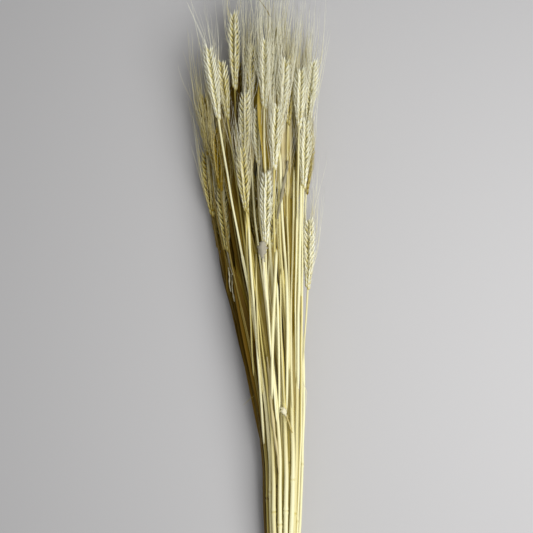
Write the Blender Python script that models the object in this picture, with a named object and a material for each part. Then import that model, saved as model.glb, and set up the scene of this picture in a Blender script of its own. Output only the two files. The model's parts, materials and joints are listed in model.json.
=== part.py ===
"""A tied bunch of dried, bearded barley that lies on its side, with the ears towards +Y.

Lengths are in metres and +Z is up. The origin is under the middle of the bunch, on the surface it lies on.
Each stalk is one grown piece: a culm with a joint and a leaf sheath, an ear of six rows of kernels, and awns.
"""

import math

import bmesh
import bpy
import numpy as np
from mathutils import Matrix

MM = 0.001
SEED = 41

# The bunch
CUT_END_Y = -408 * MM  # the lowest cut end
CUT_SPREAD = 16 * MM  # how unevenly the ends are cut
TIE_Y = -338 * MM
TIE_X = 16 * MM
TIE_LAYERS = 3  # rings of stems round the middle one, 37 stems in all
STEM_PITCH = 5.25 * MM  # between neighbouring stems inside the tie
FAN = 3.0  # how much the stems spread above the tie, as a share of their place for each metre
BEND_Y = -215 * MM  # above this the stems leave the bundle for their ears
GAP = 0.3 * MM  # between pieces that touch

# How the stalks are laid clear of each other, in rounds of small moves
TIE_STATIONS = 3  # the first stations, where the tie holds the stems
SETTLE_ROUNDS = 700
SETTLE_STEP = 5 * MM  # between the places where the stalks are compared
SETTLE_GAP = 0.45 * MM  # more than GAP, as the solids' straight runs cut across the curves
SETTLE_PUSH = 4  # how hard stalks that are too close push
SETTLE_MOVE = 1.5 * MM  # the most that a push moves a stalk in a round
SETTLE_STRAIGHTEN = 0.12
SETTLE_RETURN = 0.02  # how hard a stalk goes back to its own way
SETTLE_FADE = 1.6  # how fast these two fade over the rounds

# Stem
STEM_RADIUS = 2.475 * MM  # in its leaf sheath
UPPER_RADIUS = 1.5 * MM  # bare stem above the sheath
NECK_RADIUS = 1.15 * MM  # just under the ear
JOINT_SHARE = (0.24, 0.34)  # where the joint is, of the way from the cut end to the ear
SHEATH_SHARE = (0.62, 0.80)  # where the sheath ends
JOINT_SWELL = 1.14
JOINT_HALF = 3.5 * MM
SHEATH_TAPER = 0.88
SHEATH_STEP = 2 * MM
STEM_SIDES = 6  # as the ear has six rows
RING_STEP = 66 * MM  # between the stem's rings
RING_ROOM = 13 * MM  # no ring is nearer to a joint or a sheath's end
AXIS_REACH = 4 * MM  # on each side of a point, to find the way that a stalk runs there

# Ear
KERNEL_STEP = 5.4 * MM  # between one ring of kernels and the next
KERNEL_START = 0.6  # the first ring is this many steps up the ear
EAR_RADIUS = 7.0 * MM  # to the kernels' points
EAR_SWELL = ((0.0, 0.55), (0.12, 0.86), (0.35, 1.0), (0.62, 0.97), (0.84, 0.76), (1.0, 0.42))
GROOVE = 0.58  # radius between the kernels, as a share
POINT_RISE = 0.66  # how far a kernel's point leans up the ear, in steps
GROOVE_DROP = 0.2

# Awns
AWNS = 6
AWN_LENGTH = (80 * MM, 104 * MM)
AWN_RADIUS = 0.5 * MM
AWN_ROOT = 3.6 * MM  # sunk into the kernel
AWN_BEND = 0.45  # where it turns, of its length
AWN_TAPER = 0.8  # radius there, as a share
AWN_START = 0.8  # how far along its own share of the ear each awn grows
AWN_LEAN = (5, 11)  # away from the ear up to the bend, in degrees
AWN_LEAN_PAST = (-3, 9)
AWN_SWING = 16  # sideways, in degrees
AWN_SWING_PAST = 12
AWN_TRIES = 500
AWN_LOOSEN = 2.2  # how much wider than the first try the last one looks
AWN_SHORTEN = 0.3  # and how much shorter it is
AWN_SAMPLES = 41  # points compared with the other stalks
AWN_SIDES = 3

# Torn leaf remains
LEAF_THICK = 0.8 * MM
LEAF_LIFT = 1.2 * MM  # over the stalks that it crosses
LEAF_SEARCH = 3 * MM
LEAF_SAMPLES = 9  # places along a blade where it is lifted clear
LEAF_RISE = 0.35  # of the way to its first point, a blade is clear of its own stem

# Tie
RAFFIA_THICK = 0.7 * MM
RAFFIA_WIDE = 9 * MM
RAFFIA_TURNS = 3
RAFFIA_SLIP = 2.4 * MM  # each turn lies this far along from the last
RAFFIA_CORNER = (-30, 0, 30)  # it bends round each of the bundle's six corners, in degrees
KNOT_SIZE = (9 * MM, 7 * MM, 3.4 * MM)
KNOT_SEGMENTS = 10
KNOT_RINGS = 6
TAIL = (24 * MM, 4.5 * MM, 0.8 * MM)
TAIL_TURNS = (35, 152)  # directions of the two loose ends, in degrees from +X
TAIL_LIFT = math.radians(5)

# Ears that show from above, in mm: base x, base y, point x, point y, and the height of the ear's middle
SEEN_EARS = (
    (-53, 158, -64, 234, 56),
    (-38, 192, -38, 273, 40),
    (-42, 160, -49, 221, 40),
    (-19, 183, -17, 238, 46),
    (-4, 169, -3, 241, 60),
    (4, 160, 3, 236, 46),
    (7, 201, 9, 258, 34),
    (12, 155, 17, 221, 56),
    (7, 104, 10, 171, 62),
    (-12, 110, -12, 169, 50),
    (-24, 115, -24, 185, 56),
    (22, 154, 25, 228, 38),
    (35, 150, 37, 212, 44),
    (40, 150, 48, 223, 30),
    (37, 86, 39, 158, 40),
    (-22, 58, -27, 126, 60),
    (-2, 25, -1, 99, 64),
    (3, 22, 12, 88, 44),
    (42, -23, 43, 51, 30),
    (-64, 120, -70, 185, 30),
    (-58, 56, -66, 126, 22),
    (-47, 18, -54, 88, 24),
    (-51, 83, -57, 147, 44),
    (-38, 61, -43, 126, 36),
)

# Ears on the underside, which the others hide from above
HIDDEN_X = (-58 * MM, 46 * MM)
HIDDEN_BASE_Y = (20 * MM, 168 * MM)
HIDDEN_HEIGHT = (8 * MM, 23 * MM)
HIDDEN_LENGTH = (62 * MM, 76 * MM)
HIDDEN_LEAN = 1.3  # sideways lean for each metre of x

# Torn leaf remains, in mm: the side that they show on, then x, y and width at the root and at each point on
TORN_LEAVES = (
    ("top", ((-3.5, 4, 2), (-4.5, 14, 4), (-7, 21, 9), (-8, 26, 6))),
    ("top", ((21.6, 114, 2.4), (19, 98, 2.8), (14, 72, 2.4), (9.7, 48, 1.4))),
    ("left", ((-43, 9, 2), (-44.3, -14, 2.2), (-44.3, -30, 2), (-40, -39, 1.2))),
    ("top", ((16.6, -150, 2.4), (18, -158, 3.6), (22, -167, 1.8), (25.9, -176, 1.2))),
)

# Looks
STRAW_COLOURS = ((0.80, 0.74, 0.47), (0.87, 0.83, 0.60), (0.70, 0.62, 0.34))
STRAW_MIX = (2, 2, 1)  # how much of each colour a stalk tends to have
STRAW_ROUGHNESS = 0.55
RAFFIA_COLOUR = (0.62, 0.47, 0.26)
RAFFIA_ROUGHNESS = 0.7


def tie_slots():
    """Stem places inside the tie: a hexagonal pack, as (x, z) about its middle."""
    slots = []
    for row in range(-TIE_LAYERS, TIE_LAYERS + 1):
        for step in range(-TIE_LAYERS, TIE_LAYERS + 1):
            if abs(row + step) <= TIE_LAYERS:
                slots.append((STEM_PITCH * (step + row / 2), STEM_PITCH * row * math.sqrt(3) / 2))
    return np.array(slots)


def tie_middle(slots):
    """Where the middle stem runs through the tie, as (x, z), with the tie's underside on the surface."""
    return TIE_X, RAFFIA_THICK * RAFFIA_TURNS + GAP + STEM_RADIUS - slots[:, 1].min()


def all_ears(count, draw):
    """Base and point (x, y, z) of each ear: the ears that show, then the hidden ones by a rule."""
    bases, points = [], []
    for base_x, base_y, point_x, point_y, height in SEEN_EARS:
        bases.append((base_x * MM, base_y * MM, height * MM))
        points.append((point_x * MM, point_y * MM, height * MM))
    hidden = count - len(bases)
    golden = (math.sqrt(5) - 1) / 2
    for index in range(hidden):
        x = np.interp((index + 0.5) / hidden, (0, 1), HIDDEN_X)
        y = np.interp((index * golden) % 1, (0, 1), HIDDEN_BASE_Y)
        z = HIDDEN_HEIGHT[index % 2]
        length = draw.uniform(*HIDDEN_LENGTH)
        bases.append((x, y, z))
        points.append((x + length * HIDDEN_LEAN * x, y + length, z))
    return np.array(bases), np.array(points)


def matched(slots, places):
    """A slot for each ear, traded in pairs for as long as a trade leaves the stems straighter."""
    want = (places - places.mean(axis=0)) * slots.std(axis=0) / places.std(axis=0)
    chosen = np.empty(len(slots), int)
    chosen[np.lexsort((want[:, 1], want[:, 0]))] = np.lexsort((slots[:, 1], slots[:, 0]))
    better = True
    while better:
        better = False
        for one in range(len(chosen)):
            for other in range(one):
                gain = np.dot(slots[chosen[one]] - slots[chosen[other]], want[one] - want[other])
                if gain < -1e-12:
                    chosen[one], chosen[other] = chosen[other], chosen[one]
                    better = True
    return slots[chosen]


class Bunch:
    """Where every stalk runs: its centreline as (x, z) at a few values of y, and its radius along y."""

    def __init__(self):
        draw = np.random.default_rng(SEED)
        slots = tie_slots()
        self.count = len(slots)
        self.base, self.point = all_ears(self.count, draw)
        self.slots = matched(slots, (self.base[:, [0, 2]] + self.point[:, [0, 2]]) / 2)
        self.cut = CUT_END_Y + draw.uniform(0, CUT_SPREAD, self.count)
        length = self.base[:, 1] - self.cut
        self.joint = self.cut + length * draw.uniform(*JOINT_SHARE, self.count)
        self.sheath = self.cut + length * draw.uniform(*SHEATH_SHARE, self.count)
        self.ys = np.concatenate(
            (
                [CUT_END_Y, TIE_Y - RAFFIA_WIDE, TIE_Y + RAFFIA_WIDE],
                np.arange(TIE_Y + RING_STEP, self.point[:, 1].max() + RING_STEP, RING_STEP),
            )
        )
        self.place = self.targets(self.ys)
        self.settle()

    def targets(self, ys):
        """Where each stalk would run by itself: straight out of the tie, then in one sweep to its ear."""
        middle_x, middle_z = tie_middle(self.slots)
        slots = self.slots + (0, middle_z)
        paths = np.empty((self.count, len(ys), 2))
        for stalk, (slot, base, point) in enumerate(zip(slots, self.base, self.point)):
            fan = 1 + FAN * np.clip(ys - TIE_Y - RAFFIA_WIDE, -RAFFIA_WIDE, None)[:, None]
            low = (middle_x, 0) + slot * fan
            start = (middle_x, 0) + slot * (1 + FAN * (BEND_Y - TIE_Y - RAFFIA_WIDE))
            end = base[[0, 2]]
            lean = (point - base)[[0, 2]] / (point[1] - base[1])
            span = base[1] - BEND_Y
            t = np.clip((ys - BEND_Y) / span, 0, 1)[:, None]
            sweep = (2 * t**3 - 3 * t**2 + 1) * start + (3 * t**2 - 2 * t**3) * end
            sweep += span * ((t**3 - 2 * t**2 + t) * slot * FAN + (t**3 - t**2) * lean)
            ear = end + (ys[:, None] - base[1]) * lean
            above, below = (ys > base[1])[:, None], (ys < BEND_Y)[:, None]
            paths[stalk] = np.where(above, ear, np.where(below, low, sweep))
        return paths

    def profile(self, stalk):
        """Values of y and radius at each change along the stem."""
        cut, joint, sheath, base = self.cut[stalk], self.joint[stalk], self.sheath[stalk], self.base[stalk, 1]
        return (
            (cut, joint - JOINT_HALF, joint, joint + JOINT_HALF, sheath, sheath + SHEATH_STEP, base),
            (
                STEM_RADIUS,
                STEM_RADIUS,
                STEM_RADIUS * JOINT_SWELL,
                STEM_RADIUS,
                STEM_RADIUS * SHEATH_TAPER,
                UPPER_RADIUS,
                NECK_RADIUS,
            ),
        )

    def ear_radius(self, stalk, ys):
        """Distance from the ear's middle to its kernels' points."""
        share = (ys - self.base[stalk, 1]) / (self.point[stalk, 1] - self.base[stalk, 1])
        return EAR_RADIUS * np.interp(share, *zip(*EAR_SWELL))

    def radius(self, stalk, ys, margin=0.0):
        """Outer radius of the stalk at each y, and below nothing where it isn't."""
        base, point = self.base[stalk, 1], self.point[stalk, 1]
        stem = np.interp(ys, *self.profile(stalk))
        ear = np.where((ys > base - margin) & (ys < point + margin), self.ear_radius(stalk, ys), 0)
        out = (ys < self.cut[stalk] - margin) | (ys > point + margin)
        return np.where(out, -1.0, np.maximum(np.where(ys <= base, stem, 0), ear))

    def centre(self, stalk, ys):
        """Points (x, y, z) of the centreline."""
        place = self.place[stalk]
        return np.stack((np.interp(ys, self.ys, place[:, 0]), ys, np.interp(ys, self.ys, place[:, 1])), axis=-1)

    def settle(self):
        """Pushes the stalks apart, and up off the surface, until none touches another."""
        fine = np.arange(self.ys[0], self.ys[-1], SETTLE_STEP)
        hats = np.stack([np.interp(fine, self.ys, row) for row in np.eye(len(self.ys))], axis=1)
        share = hats / np.maximum(hats.sum(axis=0), 1e-9)
        radius = np.stack([self.radius(stalk, fine, SETTLE_STEP) for stalk in range(self.count)])
        reach = radius[:, None] + radius[None] + SETTLE_GAP
        reach[np.minimum(radius[:, None], radius[None]) < 0] = 0
        reach[np.arange(self.count), np.arange(self.count)] = 0
        free = (np.arange(len(self.ys)) >= TIE_STATIONS)[None, :, None]
        aim = self.place.copy()
        for turn in range(SETTLE_ROUNDS):
            pull = max(0.0, 1 - SETTLE_FADE * turn / SETTLE_ROUNDS)
            place = hats @ self.place
            apart = place[:, None] - place[None]
            far = np.sqrt((apart**2).sum(axis=-1)) + 1e-9
            short = np.clip(reach - far, 0, None)
            push = (apart / far[..., None] * short[..., None]).sum(axis=1) * 0.5
            push[..., 1] += np.where(radius > 0, np.clip(radius - place[..., 1], 0, None), 0)
            push = np.einsum("fc,nfd->ncd", share, push) * SETTLE_PUSH
            move = np.clip(push, -SETTLE_MOVE, SETTLE_MOVE)
            drift = self.place - aim
            bend = np.zeros_like(drift)
            bend[:, 1:-1] = drift[:, 2:] + drift[:, :-2] - 2 * drift[:, 1:-1]
            move += pull * (SETTLE_STRAIGHTEN * bend - SETTLE_RETURN * drift)
            self.place += np.where(free, move, 0)


def frame_at(axis):
    """Two directions square to the axis: one sideways, one up."""
    side = np.array((1.0, 0.0, 0.0)) - axis[0] * axis
    side /= np.linalg.norm(side)
    return side, np.cross(side, axis)


def section(centre, axis, radii, turns, lifts=0.0):
    """A ring of points round the axis, each at its own radius, turn and distance along it."""
    side, up = frame_at(axis)
    around = np.cos(turns)[:, None] * side + np.sin(turns)[:, None] * up
    return centre + around * np.reshape(radii, (-1, 1)) + np.reshape(lifts, (-1, 1)) * axis


def loft(name, sections, apex=None, relief_from=None):
    """A closed mesh through rings of points. From ring relief_from on, the points alternate with grooves."""
    shape = bmesh.new()
    rings = [[shape.verts.new(point) for point in ring] for ring in sections]
    for number, (low, high) in enumerate(zip(rings, rings[1:])):
        for side, here in enumerate(low):
            after = (side + 1) % len(low)
            if relief_from is None or number < relief_from:
                shape.faces.new((here, low[after], high[after], high[side]))
            elif (number - relief_from + side) % 2 == 0:
                shape.faces.new((here, low[after], high[side]))
                shape.faces.new((low[after], high[after], high[side]))
            else:
                shape.faces.new((here, low[after], high[after]))
                shape.faces.new((here, high[after], high[side]))
    shape.faces.new(rings[0][::-1])
    if apex is None:
        shape.faces.new(rings[-1])
    else:
        tip = shape.verts.new(apex)
        for side, here in enumerate(rings[-1]):
            shape.faces.new((here, rings[-1][(side + 1) % len(rings[-1])], tip))
    bmesh.ops.recalc_face_normals(shape, faces=shape.faces)
    mesh = bpy.data.meshes.new(name)
    shape.to_mesh(mesh)
    shape.free()
    return bpy.data.objects.new(name, mesh)


def axis_at(bunch, stalk, y):
    """The way that the centreline runs at y."""
    ends = bunch.centre(stalk, np.array((y - AXIS_REACH, y + AXIS_REACH)))
    return (ends[1] - ends[0]) / np.linalg.norm(ends[1] - ends[0])


def stem_stations(bunch, stalk):
    """Values of y for the stem's rings: its own changes, and the bunch's stations where they leave room."""
    own = np.array(bunch.profile(stalk)[0])
    between = [y for y in bunch.ys if own[0] < y < own[-1] and np.abs(own - y).min() > RING_ROOM]
    return np.sort(np.concatenate((own, between)))


def kernel_rings(bunch, stalk):
    """Values of y for the ear's rings of kernels."""
    base, point = bunch.base[stalk, 1], bunch.point[stalk, 1]
    count = round((point - base) / KERNEL_STEP)
    return base + (point - base) * (np.arange(count) + KERNEL_START) / count


def stalk_solid(bunch, stalk, name):
    """The stem and its ear in one surface. Each kernel is a pointed scale between four grooves."""
    turns = np.arange(STEM_SIDES) * math.tau / STEM_SIDES
    stem_ys, ear_ys = stem_stations(bunch, stalk), kernel_rings(bunch, stalk)
    stem = np.interp(stem_ys, *bunch.profile(stalk))
    rings = [
        section(bunch.centre(stalk, y), axis_at(bunch, stalk, y), np.full(STEM_SIDES, radius), turns)
        for y, radius in zip(stem_ys, stem)
    ]
    step = ear_ys[1] - ear_ys[0]
    for number, (y, radius) in enumerate(zip(ear_ys, bunch.ear_radius(stalk, ear_ys))):
        points = (number + np.arange(STEM_SIDES)) % 2 == 0
        radii = np.where(points, radius, radius * GROOVE)
        lifts = np.where(points, POINT_RISE, -GROOVE_DROP) * step
        rings.append(section(bunch.centre(stalk, y), axis_at(bunch, stalk, y), radii, turns, lifts))
    apex = bunch.centre(stalk, bunch.point[stalk, 1] + step)
    return loft(name, rings, apex, relief_from=len(stem_ys))


def stalk_walls(bunch, stalk):
    """The stalk as a chain of tapered rods: start, end, the two radii and whose it is."""
    ys = np.concatenate((stem_stations(bunch, stalk), kernel_rings(bunch, stalk), [bunch.point[stalk, 1]]))
    points, radii = bunch.centre(stalk, ys), bunch.radius(stalk, ys, 2 * MM)
    return np.hstack((points[:-1], points[1:], radii[:-1, None], radii[1:, None], np.full((len(ys) - 1, 1), stalk)))


def gap_to(points, radius, walls):
    """The least gap between a thin piece's points and the rods."""
    start, along = walls[:, :3], walls[:, 3:6] - walls[:, :3]
    way = points[:, None] - start
    share = np.clip((way * along).sum(-1) / np.maximum((along**2).sum(-1), 1e-12), 0, 1)
    far = np.linalg.norm(way - share[..., None] * along, axis=-1)
    return (far - walls[:, 6] - share * (walls[:, 7] - walls[:, 6])).min() - radius


def awn_path(root, axis, outward, draw, patience):
    """A trial awn: three points, leaning out from the kernel and then turning up with the ear."""
    across = np.cross(axis, outward)
    loose = math.radians(1 + AWN_LOOSEN * patience)
    lean, swing = draw.uniform(*AWN_LEAN) * loose, draw.normal(0, AWN_SWING) * loose
    lean_past, swing_past = draw.uniform(*AWN_LEAN_PAST) * loose, swing + draw.normal(0, AWN_SWING_PAST) * loose
    length = draw.uniform(*AWN_LENGTH) * (1 - AWN_SHORTEN * patience)
    points = [root]
    for angle, twist, share in ((lean, swing, AWN_BEND), (lean_past, swing_past, 1 - AWN_BEND)):
        way = math.cos(angle) * axis + math.sin(angle) * (math.cos(twist) * outward + math.sin(twist) * across)
        points.append(points[-1] + way * length * share)
    return np.array(points)


def grow_awns(bunch, walls):
    """Awns for every ear, each bent clear of all the other stalks and their awns."""
    draw = np.random.default_rng(SEED + 1)
    grown = []
    for number in range(AWNS):
        for stalk in range(bunch.count):
            ear_ys = kernel_rings(bunch, stalk)
            ring = round((number + AWN_START) / AWNS * (len(ear_ys) - 1))
            row = (2 * number + ring % 2) % STEM_SIDES
            y, axis = ear_ys[ring], axis_at(bunch, stalk, ear_ys[ring])
            side, up = frame_at(axis)
            turn = row * math.tau / STEM_SIDES
            outward = math.cos(turn) * side + math.sin(turn) * up
            radius = bunch.ear_radius(stalk, y)
            root = bunch.centre(stalk, y) + radius * outward + POINT_RISE * (ear_ys[1] - ear_ys[0]) * axis
            others = walls[walls[:, 8] != stalk]
            near = np.minimum(others[:, 1], others[:, 4]) < root[1] + AWN_LENGTH[1]
            near &= np.maximum(others[:, 1], others[:, 4]) > root[1] - AWN_ROOT
            near &= np.abs(others[:, 0] - root[0]) < AWN_LENGTH[1]
            others = others[near]
            for attempt in range(AWN_TRIES):
                path = awn_path(root, axis, outward, draw, attempt / AWN_TRIES)
                spread = np.linspace(0, 2, AWN_SAMPLES)
                trial = np.stack([np.interp(spread, (0, 1, 2), path[:, k]) for k in range(3)], axis=1)
                if trial[:, 2].min() > 2 * AWN_RADIUS and gap_to(trial, AWN_RADIUS, others) > GAP:
                    grown.append((stalk, path))
                    rods = np.hstack((path[:-1], path[1:], np.tile((AWN_RADIUS, AWN_RADIUS, stalk), (2, 1))))
                    walls = np.vstack((walls, rods))
                    break
    return grown


def awn_solid(path, name):
    """A slim three-sided needle that starts inside its kernel, bends once and ends in a point."""
    first = (path[1] - path[0]) / np.linalg.norm(path[1] - path[0])
    turns = (np.arange(AWN_SIDES) + 0.5) * math.tau / AWN_SIDES
    root = section(path[0] - first * AWN_ROOT, first, np.full(AWN_SIDES, AWN_RADIUS), turns)
    middle = section(path[1], first, np.full(AWN_SIDES, AWN_RADIUS * AWN_TAPER), turns)
    return loft(name, (root, middle), apex=path[2])


def skin(bunch, side, y, across, reach):
    """The outermost stalk on a side of the bunch, at y and within reach, and how far out its surface is."""
    best, owner = -1.0, None
    for stalk in range(bunch.count):
        x, _, z = bunch.centre(stalk, y)
        radius = bunch.radius(stalk, np.array((y,)), LEAF_SEARCH)[0]
        place, out = (x, z) if side == "top" else (z, -x)
        if radius > 0 and abs(place - across) < radius + reach and out + radius > best:
            best, owner = out + radius, stalk
    return owner, best


def torn_leaf(bunch, side, outline):
    """Whose stem a torn blade grows on, and its path: out of that stem and then over its neighbours."""
    places = np.array(outline) * MM
    root_x, root_y, root_width = places[0]
    if side == "top":
        owner = skin(bunch, side, root_y, root_x, LEAF_SEARCH)[0]
    else:
        owner = min(range(bunch.count), key=lambda stalk: bunch.centre(stalk, root_y)[0])
    root = bunch.centre(owner, root_y)
    rise = root_y + (places[1, 1] - root_y) * LEAF_RISE
    places = np.vstack(([root[0], root_y, root_width], [bunch.centre(owner, rise)[0], rise, root_width], places[1:]))
    shares = np.arange(len(places))
    path = [root]
    for number in shares[1:]:
        near = np.linspace(number - 1, min(number + 1, shares[-1]), LEAF_SAMPLES)
        line = np.stack([np.interp(near, shares, places[:, k]) for k in range(3)], axis=1)
        level = line[:, 0] if side == "top" else np.full(LEAF_SAMPLES, root[2])
        out = max(skin(bunch, side, y, a, width / 2 + LEAF_LIFT)[1] for a, (_, y, width) in zip(level, line))
        out += LEAF_LIFT + LEAF_THICK
        x, y, _ = places[number]
        path.append(np.array((x, y, out) if side == "top" else (-out, y, root[2])))
    return owner, np.array(path), places[:, 2]


def blade_solid(side, path, widths, name):
    """A flat strip of leaf along its path, with its face towards the side that it shows on."""
    face = np.array((0.0, 0.0, 1.0) if side == "top" else (-1.0, 0.0, 0.0))
    rings = []
    for number, (point, width) in enumerate(zip(path, widths)):
        way = path[min(number + 1, len(path) - 1)] - path[max(number - 1, 0)]
        way /= np.linalg.norm(way)
        across = np.cross(way, face)
        across /= np.linalg.norm(across)
        out = np.cross(across, way)
        corners = ((-1, -1), (1, -1), (1, 1), (-1, 1))
        rings.append([point + a * width / 2 * across + b * LEAF_THICK / 2 * out for a, b in corners])
    return loft(name, rings)


def fuse(solid, extras, collection):
    """Puts the solid in its collection, joins the extras to it in one union, and removes them."""
    collection.objects.link(solid)
    group = bpy.data.collections.new("extras")
    bpy.context.scene.collection.children.link(group)
    for extra in extras:
        group.objects.link(extra)
    join = solid.modifiers.new("join", "BOOLEAN")
    join.operation, join.operand_type = "UNION", "COLLECTION"
    join.collection = group
    join.solver = "EXACT"
    bpy.context.view_layer.update()
    seen = solid.evaluated_get(bpy.context.evaluated_depsgraph_get())
    joined = bpy.data.meshes.new_from_object(seen)
    solid.modifiers.clear()
    plain, solid.data = solid.data, joined
    bpy.data.meshes.remove(plain)
    for extra in extras:
        bpy.data.objects.remove(extra)
    bpy.data.collections.remove(group)


def tie_outline(offset):
    """Points round the stems in the tie, at this distance from the middles of the outer ones."""
    corners = TIE_LAYERS * STEM_PITCH
    points = []
    for corner in range(6):
        angle = corner * math.tau / 6
        for bend in RAFFIA_CORNER:
            turn = angle + math.radians(bend)
            x = corners * math.cos(angle) + offset * math.cos(turn)
            z = corners * math.sin(angle) + offset * math.sin(turn)
            points.append((x, z))
    return points


def tie_solid(bunch, name):
    """Flat raffia wound round the stems: a band with a step for each turn, closed on itself."""
    inner = STEM_RADIUS + GAP
    wide = RAFFIA_WIDE + (RAFFIA_TURNS - 1) * RAFFIA_SLIP
    profile = [(0, inner), (wide, inner)]
    for turn in range(RAFFIA_TURNS - 1, 0, -1):
        end = RAFFIA_WIDE + turn * RAFFIA_SLIP
        depth = inner + RAFFIA_THICK * (RAFFIA_TURNS - turn)
        profile += [(end, depth), (end - RAFFIA_SLIP + RAFFIA_THICK, depth)]
    profile += [(RAFFIA_WIDE, inner + RAFFIA_THICK * RAFFIA_TURNS), (0, inner + RAFFIA_THICK * RAFFIA_TURNS)]
    middle_x, middle_z = tie_middle(bunch.slots)
    shape = bmesh.new()
    rings = []
    for y, offset in profile:
        outline = tie_outline(offset)
        rings.append([shape.verts.new((middle_x + x, TIE_Y - wide / 2 + y, middle_z + z)) for x, z in outline])
    for low, high in zip(rings, rings[1:] + rings[:1]):
        for side, here in enumerate(low):
            after = (side + 1) % len(low)
            shape.faces.new((here, low[after], high[after], high[side]))
    bmesh.ops.recalc_face_normals(shape, faces=shape.faces)
    mesh = bpy.data.meshes.new(name)
    shape.to_mesh(mesh)
    shape.free()
    return bpy.data.objects.new(name, mesh)


def knot_parts(bunch):
    """The knot on top of the tie, and its two loose ends."""
    x, z = tie_middle(bunch.slots)
    top = z + tie_outline(STEM_RADIUS + GAP + RAFFIA_THICK * RAFFIA_TURNS)[4][1]
    raised = top + KNOT_SIZE[2] / 4
    bpy.ops.mesh.primitive_uv_sphere_add(
        segments=KNOT_SEGMENTS, ring_count=KNOT_RINGS, location=(x, TIE_Y - RAFFIA_SLIP, raised)
    )
    knot = bpy.context.object
    knot.scale = [size / 2 for size in KNOT_SIZE]
    parts = [knot]
    for turn in TAIL_TURNS:
        bpy.ops.mesh.primitive_cube_add(size=1)
        tail = bpy.context.object
        tail.scale = TAIL
        angle = math.radians(turn)
        tail.rotation_euler = (0, -TAIL_LIFT, angle)
        out, along = TAIL[0] / 2 * math.cos(angle), TAIL[0] / 2 * math.sin(angle)
        tail.location = (x + out, TIE_Y - RAFFIA_SLIP + along, raised + TAIL[0] / 2 * math.sin(TAIL_LIFT))
        parts.append(tail)
    for part in parts:
        for holder in list(part.users_collection):
            holder.objects.unlink(part)
    return parts


def finish(thing, colour, roughness):
    """Gives a piece its own material."""
    material = bpy.data.materials.new(thing.name)
    material.use_nodes = True
    surface = material.node_tree.nodes["Principled BSDF"]
    surface.inputs["Base Color"].default_value = (*colour, 1)
    surface.inputs["Roughness"].default_value = roughness
    thing.data.materials.clear()
    thing.data.materials.append(material)
    material.diffuse_color = (*colour, 1)


def on_the_surface(things):
    """Moves the whole bunch so that it rests on z = 0 with its middle over the origin."""
    corners = np.array([vertex.co for thing in things for vertex in thing.data.vertices])
    low, high = corners.min(axis=0), corners.max(axis=0)
    middle = (low + high) / 2
    for thing in things:
        thing.data.transform(Matrix.Translation((-middle[0], -middle[1], -low[2])))


def build():
    """Models the bunch."""
    for old in list(bpy.data.objects):
        bpy.data.objects.remove(old)
    collection = bpy.data.collections.new("dried_barley")
    bpy.context.scene.collection.children.link(collection)
    bunch = Bunch()
    walls = np.vstack([stalk_walls(bunch, stalk) for stalk in range(bunch.count)])
    extras = [[] for _ in range(bunch.count)]
    for side, outline in TORN_LEAVES:
        owner, path, widths = torn_leaf(bunch, side, outline)
        extras[owner].append(blade_solid(side, path, widths, "leaf"))
        half = np.stack((widths[:-1], widths[1:], np.full(len(path) - 1, 2.0 * owner)), axis=1) / 2
        walls = np.vstack((walls, np.hstack((path[:-1], path[1:], half))))
    for stalk, path in grow_awns(bunch, walls):
        extras[stalk].append(awn_solid(path, "awn"))
    draw = np.random.default_rng(SEED + 2)
    things = []
    for stalk in range(bunch.count):
        thing = stalk_solid(bunch, stalk, f"stalk_{stalk + 1:02d}")
        fuse(thing, extras[stalk], collection)
        finish(thing, draw.dirichlet(STRAW_MIX) @ np.array(STRAW_COLOURS), STRAW_ROUGHNESS)
        things.append(thing)
    tie = tie_solid(bunch, "tie")
    fuse(tie, knot_parts(bunch), collection)
    finish(tie, RAFFIA_COLOUR, RAFFIA_ROUGHNESS)
    on_the_surface(things + [tie])
    bpy.context.view_layer.update()


build()
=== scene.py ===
# Dried barley, a tied bunch that lies on its side with its ears towards +Y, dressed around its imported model.
# Lengths are in metres and angles in degrees. One piece for each stalk, and one for the raffia tie.
import json
import math

import bpy
import numpy as np
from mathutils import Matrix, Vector


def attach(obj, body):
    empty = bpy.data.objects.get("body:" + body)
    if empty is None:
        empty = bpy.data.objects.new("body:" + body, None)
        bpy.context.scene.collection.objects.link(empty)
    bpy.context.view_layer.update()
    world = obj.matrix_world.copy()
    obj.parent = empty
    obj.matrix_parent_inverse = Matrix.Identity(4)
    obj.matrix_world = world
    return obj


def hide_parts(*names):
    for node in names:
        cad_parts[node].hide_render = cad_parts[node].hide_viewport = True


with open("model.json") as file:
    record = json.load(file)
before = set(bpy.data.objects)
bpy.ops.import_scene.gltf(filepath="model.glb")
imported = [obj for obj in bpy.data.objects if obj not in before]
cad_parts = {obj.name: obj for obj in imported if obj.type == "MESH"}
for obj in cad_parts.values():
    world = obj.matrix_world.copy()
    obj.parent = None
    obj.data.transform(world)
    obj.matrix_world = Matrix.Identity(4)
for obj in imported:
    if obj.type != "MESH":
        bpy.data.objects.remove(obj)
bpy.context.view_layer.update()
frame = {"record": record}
scene = bpy.context.scene
mm = 0.001


# where every stalk runs: the same rule as in the part's source

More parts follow.
